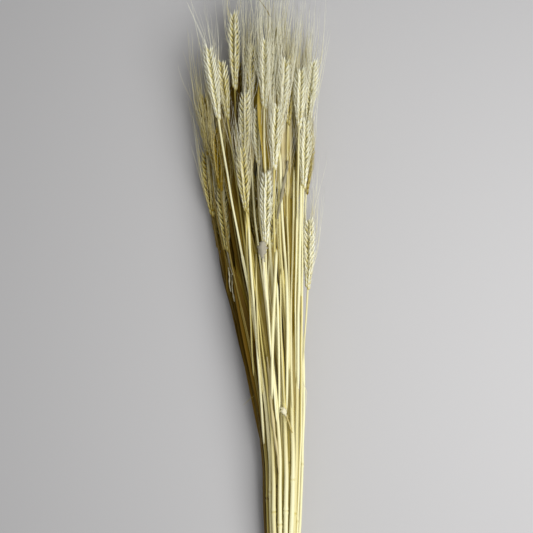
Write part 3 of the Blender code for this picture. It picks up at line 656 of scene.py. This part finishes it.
# the ears' tones: their own colour, plus painted shade for the hidden ears and on the side away from the light
earToneAndShade = np.array(ear["tones"] + tuple(ear["hiddenShadeTones"][k % 2] for k in range(stalks - shown)))
earToneAndShade[shown:] += curveAt(ear["sideShade"], earBase[shown:, 0] / mm)
earAwns = np.array(ear["awns"] + (ear["hiddenAwns"],) * (stalks - shown))
awn = {
    # pairs are for the ears that show and for the hidden ones
    "length": ((36 * mm, 92 * mm), (30 * mm, 64 * mm)),
    "spread": ((-2, 4), (-4, 13)),  # degrees from the ear at the tip
    "sway": (3.6, 7),
    "toneShare": (0.45, 0.85),  # of the kernel's tone, painted shade included, which the hidden ears' awns keep more of
    "earSway": 2.2,  # all the awns of an ear together
    "rows": (-0.02, 0, 0.06, 0.16, 0.35, 0.6, 0.82, 1),
    "radius": ((0, 0.36), (0.06, 0.27), (0.16, 0.2), (0.6, 0.14), (1, 0.06)),  # mm along the awn
    "sides": 3,
    "settle": 0.09,  # share of its length in which it turns up beside the ear
    "left": ((18, -50), (56, -59), (93, -68), (169, -79), (285, -88)),  # y and x in mm that no hidden awn passes
    "right": 52,
    "loose": (0.16, 9),  # this share of them sways this much more
    "wave": 2.2 * mm,
    "rootTone": ((0, 0.45), (18, 0.28), (50, 0)),  # added to the tone, by mm from the kernel
    "clear": (2, (-48, 190), (-29, 246)),  # over this ear, in mm, no others pass
    "short": 0.45,  # those that would are cut to this share
    "heights": (0.6 * mm, 88 * mm),
}


def earParts(stalk):
    base, point = earBase[stalk, 1], earPoint[stalk, 1]
    seed = dice(1000 + stalk)
    nodes = int(round((point - base) / ear["nodeStep"]))
    roll = math.radians(seed.normal(0, ear["roll"]))
    node, which, count = np.repeat(np.arange(nodes), 3), np.tile((-1, 0, 1), nodes), 3 * nodes
    ys = base + (point - base) * (node + 0.5) / nodes
    azimuth = roll + node % 2 * math.pi + which * math.radians(ear["fan"]) + seed.normal(0, 0.06, count)
    along, side, up = lineFrames(stalk, ys)
    out = np.cos(azimuth)[:, None] * side + np.sin(azimuth)[:, None] * up
    across = np.cross(along, out)
    swell = curveAt(ear["swell"], (ys - base) / (point - base))[:, None]
    size = (0.62 + 0.38 * swell) * np.where(which == 0, 1, 0.93)[:, None] * seed.normal(1, 0.04, (count, 1))

    # kernel: across = half width * f(t) * cos a, high = half thickness * f(t) * sin a with a keel on the outside,
    # f(t) = sin(pi * t^0.5), on a path from the ear's middle out to its edge
    t = np.array(ear["rows"])
    tip = ear["tipShare"] * bunch["earRadius"] * swell * seed.normal(1, 0.05, (count, 1))
    rise = (t * ear["length"] - ear["drop"]) * size
    reach = ear["root"] + (tip - ear["root"]) * (0.25 * np.sin(t * math.pi / 2) + 0.75 * t)
    path = swept(centreLine(stalk, ys), along, out, rise, reach)
    way = unit(path[:, -1] - path[:, 0])
    high = squareTo(way, out)
    sideways = np.cross(way, high)
    cosine, sine = ringOf(ear["sides"])
    full = size[..., None] * np.sin(math.pi * t[1:-1, None] ** 0.5)
    crest = np.where(sine > 0, sine * (1 + ear["keel"] * sine**4), sine * ear["flat"])
    tone = np.clip(earToneAndShade[stalk] + seed.normal(0, 0.07, count), 0, 1.1)
    kernels = carried(
        path, sideways[:, None], high[:, None], full * ear["halfWidth"] * cosine, full * ear["halfThick"] * crest,
        t * ear["length"], tone, huskLook,
    )
    kernels["tone"] = np.clip(kernels["tone"] + curveAt(ear["shade"], kernels["along"] / ear["length"]), 0, 1.2)

    # awn: leaves along the kernel and turns up beside the ear, sin(angle) = final + (start - final) * e^(-s / settle)
    hidden = int(stalk >= shown)
    pick = np.repeat(np.arange(count), np.floor(earAwns[stalk] + seed.random(count)).astype(int))
    many, s = (len(pick), 1), np.array(awn["rows"])
    loose = (seed.random((2, *many)) < awn["loose"][0]) * awn["loose"][1]
    begin = np.arccos(np.clip((way * along).sum(-1), -1, 1))[pick, None]
    final = np.radians(seed.uniform(*awn["spread"][hidden], many) + seed.uniform(0, 1, many) * loose[0])
    sway = np.radians(seed.normal(0, 1, many) * (awn["sway"][hidden] + loose[1]) + seed.normal(0, awn["earSway"]))
    long = seed.uniform(*awn["length"][hidden], many) * (0.8 + 0.2 * swell[pick])
    turned = awn["settle"] * (1 - np.exp(-s / awn["settle"]))
    outward = np.sin(final) * s + (np.sin(begin) - np.sin(final)) * turned
    forward = np.sqrt(np.clip(s**2 - outward**2, 0, None)) * np.sign(s)
    ripple = np.sin(s * math.pi * 2.2 + seed.uniform(0, math.tau, many)) * s
    drift = np.sin(sway) * s + seed.normal(0, 1, many) * awn["wave"] / long * ripple
    shares = (forward, along), (outward, out), (drift, across)
    awnPath = path[pick, -1:] + long[..., None] * sum(share[..., None] * ways[pick, None] for share, ways in shares)
    awnPath[..., 2] = awnPath[..., 2].clip(*awn["heights"])
    flat = (awnPath - shift)[..., :2] / mm
    x, y = flat[:, -1].T
    inside = (x > curveAt(awn["left"], y)) & (x < awn["right"])
    clearEar, corner, farCorner = awn["clear"]
    over = ((flat > corner) & (flat < farCorner)).all(axis=-1).any(axis=1) & (stalk + 1 != clearEar)
    long[over] *= awn["short"]
    awnPath[over] = awnPath[over, :1] + awn["short"] * (awnPath[over] - awnPath[over, :1])
    keep = (inside | (not hidden)) & (~over | ((awnPath[:, -1, 1] - shift[1]) / mm < corner[1]))
    pick, awnPath, long = pick[keep], awnPath[keep], long[keep]
    ways = unit(np.gradient(awnPath, axis=1))[:, 1:-1]
    awnSide = unit(np.cross(ways, high[pick, None]))
    thin = curveAt(awn["radius"], s[1:-1])[:, None] * mm * ringOf(awn["sides"])
    # the awns take on the kernel's tone with its painted shade, and are paler
    awnToneAndShade = tone[pick] * awn["toneShare"][hidden] - 0.14
    awns = carried(awnPath, awnSide, np.cross(awnSide, ways), *thin, s * long, awnToneAndShade, awnLook)
    awns["tone"] = np.clip(awns["tone"] + curveAt(awn["rootTone"], awns["along"] / mm), -0.14, 1)

    # bristle: beside the kernel, p(q) = start + length * (q along the kernel + q^2 * lean outwards)
    q = np.array(ear["bristleRows"])
    lean = np.tan(np.radians(seed.uniform(*ear["bristleLean"], (count, 1))))
    beside = np.where(seed.random((count, 1)) < 0.5, -1, 1)
    length = seed.uniform(*ear["bristle"], (count, 1)) * size
    start = path[:, 1] + beside * 0.7 * ear["halfWidth"] * sideways + 0.3 * ear["halfThick"] * high
    outwards = (lean * (high + beside * sideways))[:, None]
    bristlePath = start[:, None] + length[..., None] * (q[:, None] * way[:, None] + (q**2)[:, None] * outwards)
    bristlePath[..., 2] = bristlePath[..., 2].clip(*awn["heights"])
    thin = np.interp(q[1:-1], (0, 1), ear["bristleRadius"])[:, None] * ringOf(awn["sides"])
    paler = np.clip(tone - 0.1, 0, 1)
    return [kernels, awns, carried(bristlePath, sideways[:, None], high[:, None], *thin, q * length, paler, awnLook)]


# torn leaf remains, which grow on four of the stems, and the long dry blades of the deep stems, whose dark tone is
# painted shade in the depth of the bunch

leaves = {
    "thick": 0.3 * mm,
    "rows": 26,
    "cols": 7,
    # stalk, look, if it lies on the stems, tone, then x, y, z and width in mm at each point
    "blades": (
        (17, greyShadedLook, False, 0.1, (
            (-2, 4, 64.3, 2), (-4.5, 6.5, 67.7, 2), (-6.3, 11, 68, 5), (-6.2, 18, 70.5, 11), (-5.5, 24, 71, 8),
            (-5, 26.5, 71, 5))),
        (17, leafLook, False, 0, ((-5.5, 9, 69.5, 1.2), (-5, -5, 69, 1.4), (-3.5, -22, 67.5, 1.2), (-2, -36, 66, 0.8))),
        (12, greyShadedLook, False, 0.45, (
            (20.9, 114, 41, 2.4), (20, 104, 56, 2.6), (17.5, 92, 61, 3), (14, 72, 61.5, 3), (9.7, 50, 61.5, 1.8))),
        (20, leafLook, True, -0.1, ((-43, -1, 0, 0.7), (-41.6, -10, 0, 1.7), (-42, -18, 0, 1), (-40.6, -27, 0, 0.6))),
        (20, leafLook, True, -0.2, (
            (-39.8, -8, 0, 0.6), (-38.6, -17, 0, 1.4), (-38.9, -25, 0, 1), (-36.9, -34, 0, 1.5), (-36.5, -38, 0, 0.6))),
        (20, greyShadedLook, True, 0.2, ((-44.6, 17, 0, 0.8), (-42.6, 8, 0, 2), (-41, 0, 0, 1.2), (-38, -9, 0, 0.7))),
        # a dark blade, tone 1.1: painted shade filling the gaps between the stems on the side away from the light
        (20, leafLook, True, 1.1, ((-48, 18, 0, 1.2), (-45, -2, 0, 1.8), (-44.6, -27, 0, 1.5), (-40, -38.5, 0, 0.8))),
        (9, leafLook, False, -0.1, (
            (17.8, -150, 49.4, 2.6), (16.6, -151.4, 53.7, 6.2), (16.6, -154.5, 54.2, 6.6), (18.6, -157.5, 53.4, 3.6),
            (19.5, -160, 53.2, 2))),
        (9, leafLook, False, 0.45, (
            (19, -157, 53.2, 1.8), (21, -164, 53.6, 2.4), (22.2, -166, 53, 1.6), (24.2, -173, 53, 2.2),
            (26, -178, 52.1, 1))),
        (9, leafLook, False, 0.32, (
            (-1, -96, 56.5, 1.6), (1.1, -114, 56, 2.6), (3.4, -146, 55, 3.2), (6.8, -178, 53.2, 3.2),
            (10.4, -203, 51.2, 2.6), (11.6, -222, 50, 1.4))),
    ),
    "bridge": 5,  # points to each side, for what lies on the stems
    "deep": 0.68,  # this share of the stems, the lowest, have long blades
    "between": (0.08, 0.84),  # but none nearer to the sides
    "wide": (9 * mm, 15 * mm),
    "long": (150 * mm, 220 * mm),
    # the long blades' tone: partly the dry leaves' own brown, partly painted shade between the stems
    "innerToneAndShade": (0.6, 1.1),
    "sideShade": ((-50, 0.6), (-18, 0.3), (2, -0.1), (18, -0.35)),  # painted shade away from the light and painted light towards it, added by x in mm
    "behindEars": (3, 4, 5, 6, 7, 11),  # stalks with one blade, behind the ear, which paints shade between the ears
    "darkSide": (20, 21, 23),  # stalks with one more, away from the light, with added painted shade
    "tilt": 30,  # degrees
    "sag": 2.5 * mm,
}
bladeAcross = np.linspace(-0.5, 0.5, leaves["cols"])


def topOfStems(x, y, own):
    # height of what lies on the stems: the largest z + sqrt((r + own)^2 - dx^2), and a straight line over the gaps
    height = np.full(len(x), -1.0)
    for stalk in range(stalks):
        line = centreLine(stalk, y) - shift
        reach = np.interp(y, *stemProfile(stalk)) * (girth[stalk] + slim[stalk]) / 2 + own
        away = np.abs(line[:, 0] - x)
        top = line[:, 2] + np.sqrt(np.clip(reach**2 - away**2, 0, None))
        height = np.maximum(height, np.where((away < reach) & (y < earBase[stalk, 1]), top, -1))
    found = np.flatnonzero(height > 0)
    return np.interp(np.arange(len(x)), found, height[found])


def laidOn(x, y, own):
    # the running maximum over some points to each side, then their mean
    z, reach = topOfStems(x, y, own), leaves["bridge"]
    many = 2 * reach + 1
    z = np.max([np.pad(z, reach, mode="edge")[k : k + len(z)] for k in range(many)], axis=0)
    return np.convolve(np.pad(z, reach, mode="edge"), np.ones(many) / many, mode="valid")


def leafPart(blade, number):
    # a blade along its line: across = width * w, out = width * curl(w), with ragged edges
    _, look, rest, tone, places = blade
    seed = dice(500 + number)
    shares, w = np.linspace(0, len(places) - 1, leaves["rows"])[:, None], bladeAcross
    line = drawnLine(np.array(places) * mm, leaves["rows"], 3 * rest)
    if rest:
        line[:, 2] = laidOn(line[:, 0], line[:, 1], 0.5 * mm)
    way = unit(np.gradient(line[:, :3], axis=0))
    across = unit(np.cross(way, (0.0, 0, 1)))
    curl = 0.22 * (np.cos(w * math.pi * 1.4 + 0.4 * np.sin(shares * 2)) - 0.6)
    width = line[:, 3:] * (1 + 0.25 * np.sin(shares * 7 + seed.uniform(0, 6)) * np.abs(w) * 2)
    grid = swept(line[:, :3] + shift, across, np.cross(across, way), width * w, width * curl)
    return sheetPart(grid, leaves["thick"], tone, look, np.linspace(0, 0.05, leaves["rows"]))


def innerBlades(stalk, roots, darker=0.0):
    # a blade along the stem: grid = centre line + sag below it + w * width(t) across, folded along its middle
    seed, parts = dice(3000 + stalk), []
    t, w = np.linspace(0, 1, leaves["rows"])[:, None], bladeAcross
    for root in roots:
        length, wide = seed.uniform(*leaves["long"]), seed.uniform(*leaves["wide"])
        length = min(length, earPoint[stalk, 1] - 12 * mm - root)
        tilt, sideways = math.radians(seed.normal(0, leaves["tilt"])), seed.normal(0, 2.0) * mm
        # the blade's tone is painted shade deep in the bunch over the leaf's own brown, with more on the side away from
        # the light and less towards it
        tone = seed.uniform(*leaves["innerToneAndShade"]) + darker
        tone += curveAt(leaves["sideShade"], centreLine(stalk, [root + length / 2])[0, 0] / mm)
        gone = t[:, 0] * length
        _, side, up = lineFrames(stalk, root + gone)
        droop = leaves["sag"] * (1 + 2 * (root + length > earBase[stalk, 1]))
        path = centreLine(stalk, root + gone) + side * sideways * np.sin(t * math.pi / 2) - up * droop * t
        width = wide * np.clip(np.sin(math.pi * np.clip(t * 0.96 + 0.015, 0, 1)) ** 0.7, 0.05, 1)
        turn = tilt * (1 + 0.6 * np.sin(t * 5 + seed.uniform(0, 6)))
        flat, fold, c, s = width * w, width * 0.25 * (np.abs(w) - 0.25), np.cos(turn), np.sin(turn)
        grid = swept(path, side, up, flat * c - fold * s, flat * s + fold * c)
        grid[..., 2] = np.clip(grid[..., 2], 0.4 * mm, None)
        parts.append(sheetPart(grid, leaves["thick"], tone, leafLook, gone))
    return parts


strands = {
    "rows": 16,
    # stalk, radius, tone, then x, y and z in mm at each point
    "single": (
        (1, 0.32, 0, ((-63, 228, 57), (-70, 246, 58), (-88, 285, 58))),
        (1, 0.26, 0, ((-64, 226, 57.5), (-71.5, 247, 58.5), (-86, 280, 60))),
        (1, 0.24, 0.1, ((-62, 222, 56.5), (-69, 250, 57), (-84, 287, 59))),
        (5, 0.55, 1.1, ((2.8, 264, 62), (-2, 273, 62.5), (-13, 288, 62))),
        (5, 0.35, 0.1, ((-1, 240, 61), (1.5, 254, 62), (2.9, 266, 62))),
        (20, 0.22, 0.9, ((-12.5, -139.5, 27), (-18, -142.5, 30), (-23, -147, 31), (-28, -151.5, 30.5))),
        (19, 0.35, 0.2, ((38, -125, 34), (42, -136, 37), (41, -152, 37))),
    ),
}


def strandPart(strand):
    # a round strand on a smoothed line, which gets thinner towards its end
    _, radius, tone, places = strand
    line = drawnLine(np.array(places) * mm + shift, strands["rows"], 3)
    thin = radius * mm * np.linspace(1, 0.35, len(line) - 2)
    return roundPart(line, thin, 6, np.linspace(0, 0.06, len(line)), tone, awnLook)


least, most = np.quantile(halfway[:, 0], leaves["between"])
deepOnes = [stalk for stalk in np.argsort(halfway[:, 2])[: int(leaves["deep"] * stalks)]
            if least <= halfway[stalk, 0] <= most]
total = 0
for stalk in range(stalks):
    parts = [stemPart(stalk)] + earParts(stalk)
    roots = (jointY[stalk] + 30 * mm, sheathY[stalk] - 70 * mm, sheathY[stalk] + 40 * mm, earBase[stalk, 1] - 80 * mm)
    if stalk in deepOnes:
        parts += innerBlades(stalk, roots)
    elif stalk + 1 in leaves["behindEars"]:
        parts += innerBlades(stalk, roots[-1:])
    if stalk + 1 in leaves["darkSide"]:
        parts += innerBlades(stalk, (sheathY[stalk] - 130 * mm,), 0.5)
    parts += [leafPart(blade, number) for number, blade in enumerate(leaves["blades"]) if blade[0] == stalk + 1]
    parts += [strandPart(strand) for strand in strands["single"] if strand[0] == stalk + 1]
    joined(f"barley_{stalk + 1:02d}", parts, stalkLooks, f"stalk_{stalk + 1:02d}")
    total += sum(2 * len(part["quads"]) + len(part["tris"]) for part in parts)
print("stalks:", stalks, "with", total, "triangles")


# loose straws without an ear, which lie on top of the others

straws = {
    "sides": 10,
    "rows": 40,
    "sink": 7 * mm,  # both ends go down between the stems
    "ends": 0.1,
    "least": {10: 42},  # mm, where one lies on blades
    # radius in mm, tone, then x and y in mm at each point
    "lines": (
        (0.9, 0.45, ((-23.8, 60), (-21.6, 1.6), (-20, -25.4), (-18.4, -57.8), (-17.3, -90), (-15.1, -122))),
        (1.25, 0.12, ((-21.5, 60), (-18.4, 1.6), (-16.2, -25.4), (-14, -52), (-11.9, -85), (-9.7, -112), (-6.5, -155),
                      (-4, -197))),
        (0.95, 0.35, ((20, 62), (22.1, 20), (22.7, -36), (22.7, -68), (22.7, -118))),
        (1, 0.12, ((31, 62), (30.2, 7), (29.2, -36), (29.7, -68.6), (30.2, -130))),
        (0.95, 0.42, ((-13, 20), (-12.5, -14.6), (-10.8, -68.6), (-8.1, -112), (-5, -140))),
        (1, -0.1, ((-5.5, 18), (-3.2, -9.2), (-1.6, -30.8), (0.5, -52.4), (2.2, -79.4), (5.4, -117), (9.5, -170))),
        (1.75, 0.15, ((8.9, 20), (8.1, -3.8), (6.5, -36.2), (5, -68.6), (4.3, -101), (4.3, -145))),
        (1.2, -0.1, ((9.5, -15), (10.4, -50), (11.3, -80), (11.9, -115), (12.2, -160))),
        (1.45, -0.05, ((13, 126), (13.5, 88), (15.1, 55.6), (17.3, 23.2), (19.4, -3.8), (20.5, -36.2), (21, -68.6),
                       (20.5, -101), (20, -160))),
        (0.9, 0.25, ((13.4, -2), (13.4, -55), (15, -100), (17.6, -150))),
        (1.1, 0.18, ((28, 110), (27.5, 50), (26.5, 7), (24.8, -36), (24.3, -68.6), (24.8, -112), (26.2, -160))),
        (1.4, -0.08, ((36.2, 110), (35.1, 55.6), (34, 17.8), (33.5, -14.6), (32.4, -47), (32.2, -79.4), (32.2, -140))),
    ),
}


def strawPart(straw, number):
    # round straw on a smoothed line, laid on the stems and sunk between them at both ends
    radius, tone, places = straw
    seed = dice(4000 + number)
    x, y = drawnLine(np.array(places, float) * mm, straws["rows"], 6).T
    z = np.maximum(laidOn(x, y, radius * mm), straws["least"].get(number, 0) * mm)
    share = np.linspace(0, 1, len(x))
    z = z - straws["sink"] * sum(np.clip(1 - rest / straws["ends"], 0, 1) ** 2 for rest in (share, 1 - share))
    line = columns(x, y, np.maximum(z, (radius + 0.3) * mm)) + shift
    share = share[1:-1]
    thick = radius * mm * (1 + 0.05 * np.sin(share * 9 + seed.uniform(0, 6)))
    thick *= np.interp(share, (0, 0.06, 0.94, 1), (0.4, 1, 1, 0.4))
    part = roundPart(line, thick, straws["sides"], places[0][1] * mm - y, tone, culmLook)
    part["tone"] += np.concatenate((np.tile(seed.normal(0, stem["lineTone"], straws["sides"]), len(share)), (0, 0)))
    return part


parts = [strawPart(straw, number) for number, straw in enumerate(straws["lines"])]
joined("loose_straws", parts, stalkLooks, None)
print("loose straws:", len(straws["lines"]))


# the tie: one ribbon of raffia wound three times round the stems, with a knot on top

ribbon = {
    "thick": 0.6 * mm,
    "pitch": 0.5 * mm,  # each turn lies this much further out
    "corner": 30,  # degrees that it bends to each side of a corner stem
    "across": 11,  # points across each face
    "fray": 0.16,
    "tone": (0.12, 0.5),
    "laps": ((8, 5.4, 2.3, 5), (97, 4.6, 2.9, 4.4), (52, 5, 3.2, 3.2)),  # of the knot: degrees, reach, height, width
    "strips": 3,  # split strips at the end of a tail
}
skyward = np.array((0, 0, 1.0))


def ribbonPart(path, outward, wide, seed, taper=1):
    # profile carried along the path: across = wide / 2 * c(u), high = +- thick / 2 * (1 - 0.75 * c(u)^6) * (1 + ridges)
    tone = seed.uniform(*ribbon["tone"])
    way = unit(np.gradient(path, axis=0))
    outward = squareTo(way, unit(outward))
    c = np.linspace(-1, 1, ribbon["across"])
    across = np.concatenate((c, c[::-1]))
    lift = np.repeat((1, -1), len(c)) * (1 - 0.75 * across**6)
    s = np.linspace(0, len(path) / 12, len(path))[:, None]
    phase = seed.uniform(0, 6, 4)
    ridges = np.sin(across * 9 + s * 1.3 + phase[0]) + 0.7 * np.sin(across * 17 - s * 0.9 + phase[1])
    edge = 1 + ribbon["fray"] * (np.sin(s * 3.1 + phase[2]) + 0.6 * np.sin(s * 7.3 + phase[3])) * np.abs(across) ** 3
    edge = edge * np.reshape(taper, (-1, 1))
    high = ribbon["thick"] / 2 * lift * (1 + 0.22 * ridges)
    full = np.concatenate((path[:1], path, path[-1:]))
    length = np.cumsum(np.linalg.norm(np.diff(full, axis=0, prepend=full[:1]), axis=1))
    return carried(full, np.cross(way, outward), outward, wide / 2 * across * edge, high, length, tone, 0)


def tieParts():
    seed, parts = dice(9), []
    corners = bunch["tieLayers"] * pitch
    inner = bunch["stemRadius"] + bunch["gap"] + ribbon["thick"] / 2
    bend = np.linspace(-ribbon["corner"], ribbon["corner"], 7)
    centres = np.repeat(60 * np.arange(7), 7)[3:-3]
    angles, centres = np.radians(centres + np.tile(bend, 7)[3:-3]), np.radians(centres)
    turns, long, wide = raffia["turns"], *raffia["tail"]
    for turn in range(turns):
        out = inner + ribbon["pitch"] * (turn + angles / math.tau)
        across = raffia["slip"] * (turns - 1 - turn) + raffia["wide"] / 2 + 0.5 * mm * np.sin(angles * 2 + turn)
        path = columns(
            tieMiddle[0] + (corners * np.cos(centres) + out * np.cos(angles)), tieY - tieWide / 2 + across,
            tieMiddle[1] + (corners * np.sin(centres) + out * np.sin(angles)), angles,
        )
        path = drawnLine(path, 4 * len(path), 0)
        outward = columns(np.cos(path[:, 3]), 0, np.sin(path[:, 3]))
        parts.append(ribbonPart(path[:, :3] + shift, outward, raffia["wide"], seed))
    top = tieMiddle[1] + corners * math.sin(math.pi / 3) + inner - ribbon["thick"] / 2 + raffia["thick"] * turns
    middle = np.array((tieMiddle[0], tieY - raffia["slip"], top)) + shift

    # the knot: short laps that arch over one another
    for turn, reach, height, lapWide in ribbon["laps"]:
        a, turn = np.linspace(*np.radians((-15, 195)), 26)[:, None], math.radians(turn)
        way = np.array((math.cos(turn), math.sin(turn), 0))
        path = middle + np.cos(a) * way * reach * mm + np.sin(a) * skyward * (height * mm)
        outward, squeeze = np.cos(a) * way + np.sin(a) * skyward, 0.72 + 0.28 * np.abs(np.cos(a))
        parts.append(ribbonPart(path, outward, lapWide * mm, seed, squeeze))

    # the tails, split into strips
    t, lift = np.linspace(0, 1, 22)[:, None], math.sin(math.radians(raffia["tailLift"]))
    for turn in np.radians(raffia["tailTurns"]):
        way = np.array((math.cos(turn), math.sin(turn), 0))
        beside = np.cross(skyward, way)
        for strip in range(ribbon["strips"]):
            rise = long * t * lift + (1.2 + 1.1 * strip) * mm * np.sin(t * 2.6) ** 2
            bend = (strip - 1) * 1.5 * mm * (0.55 + 0.9 * t**2) + seed.normal(0, 0.6) * mm * np.sin(t * 4)
            path = middle + long * (0.12 + (0.88 - 0.09 * strip) * t) * way + bend * beside + rise * skyward
            outward = skyward + 0.3 * np.sin(t * 5 + strip) * beside
            parts.append(ribbonPart(path, outward, wide / 2.1, seed, np.clip(1.15 - t**4, 0.2, 1)))
    return parts


tie = joined("raffia_tie", tieParts(), [looks["raffiaFibre"]], "tie")
print("tie:", len(tie.data.polygons), "faces")


# floor, light and camera

room = {
    "floor": 40.0,
    "floorColour": (0.54, 0.54, 0.552),
    "lightPlace": (0.52, -0.14, 0.97),
    "lightSize": 1.0,
    "lightPower": 13.5,
    "lightColour": (1.0, 0.99, 0.975),
    "skyStrength": 0.24,
    "frameWide": 0.5756,
    "middle": (-1.62 * mm, 0, 37.5 * mm),  # before the model was centred
    "lens": (85.0, 36.0),
}
middle = Vector(room["middle"]) + Vector(shift)
half = room["floor"] / 2
floorMesh = bpy.data.meshes.new("floor")
floorMesh.from_pydata([(-half, -half, 0), (half, -half, 0), (half, half, 0), (-half, half, 0)], [], [(0, 1, 2, 3)])
floor = placed("floor", floorMesh)
floorLook = bpy.data.materials.new("paleFloor")
floorFinish = ("Base Color", room["floorColour"]), ("Roughness", 0.85), ("Specular IOR Level", 0.2)
setInputs(floorLook, "Principled BSDF", floorFinish)
floorMesh.materials.append(floorLook)

glow = bpy.data.lights.new("windowLight", "AREA")
glow.size, glow.energy, glow.color = room["lightSize"], room["lightPower"], room["lightColour"]
lamp = placed("windowLight", glow)
lamp.location = room["lightPlace"]
lamp.rotation_euler = (middle - lamp.location).to_track_quat("-Z", "Y").to_euler()
world = bpy.data.worlds.new("studio")
setInputs(world, "Background", (("Color", room["lightColour"]), ("Strength", room["skyStrength"])))
scene.world = world
scene.view_settings.view_transform = "Standard"

lens = bpy.data.cameras.new("camera")
lens.lens, lens.sensor_width = room["lens"]
camera = placed("camera", lens)
distance = room["frameWide"] * lens.lens / lens.sensor_width
camera.location = middle + Vector((0, 0, distance))
scene.camera = camera
print("room: camera", round(distance, 3), "m above the bunch")

bpy.context.view_layer.update()
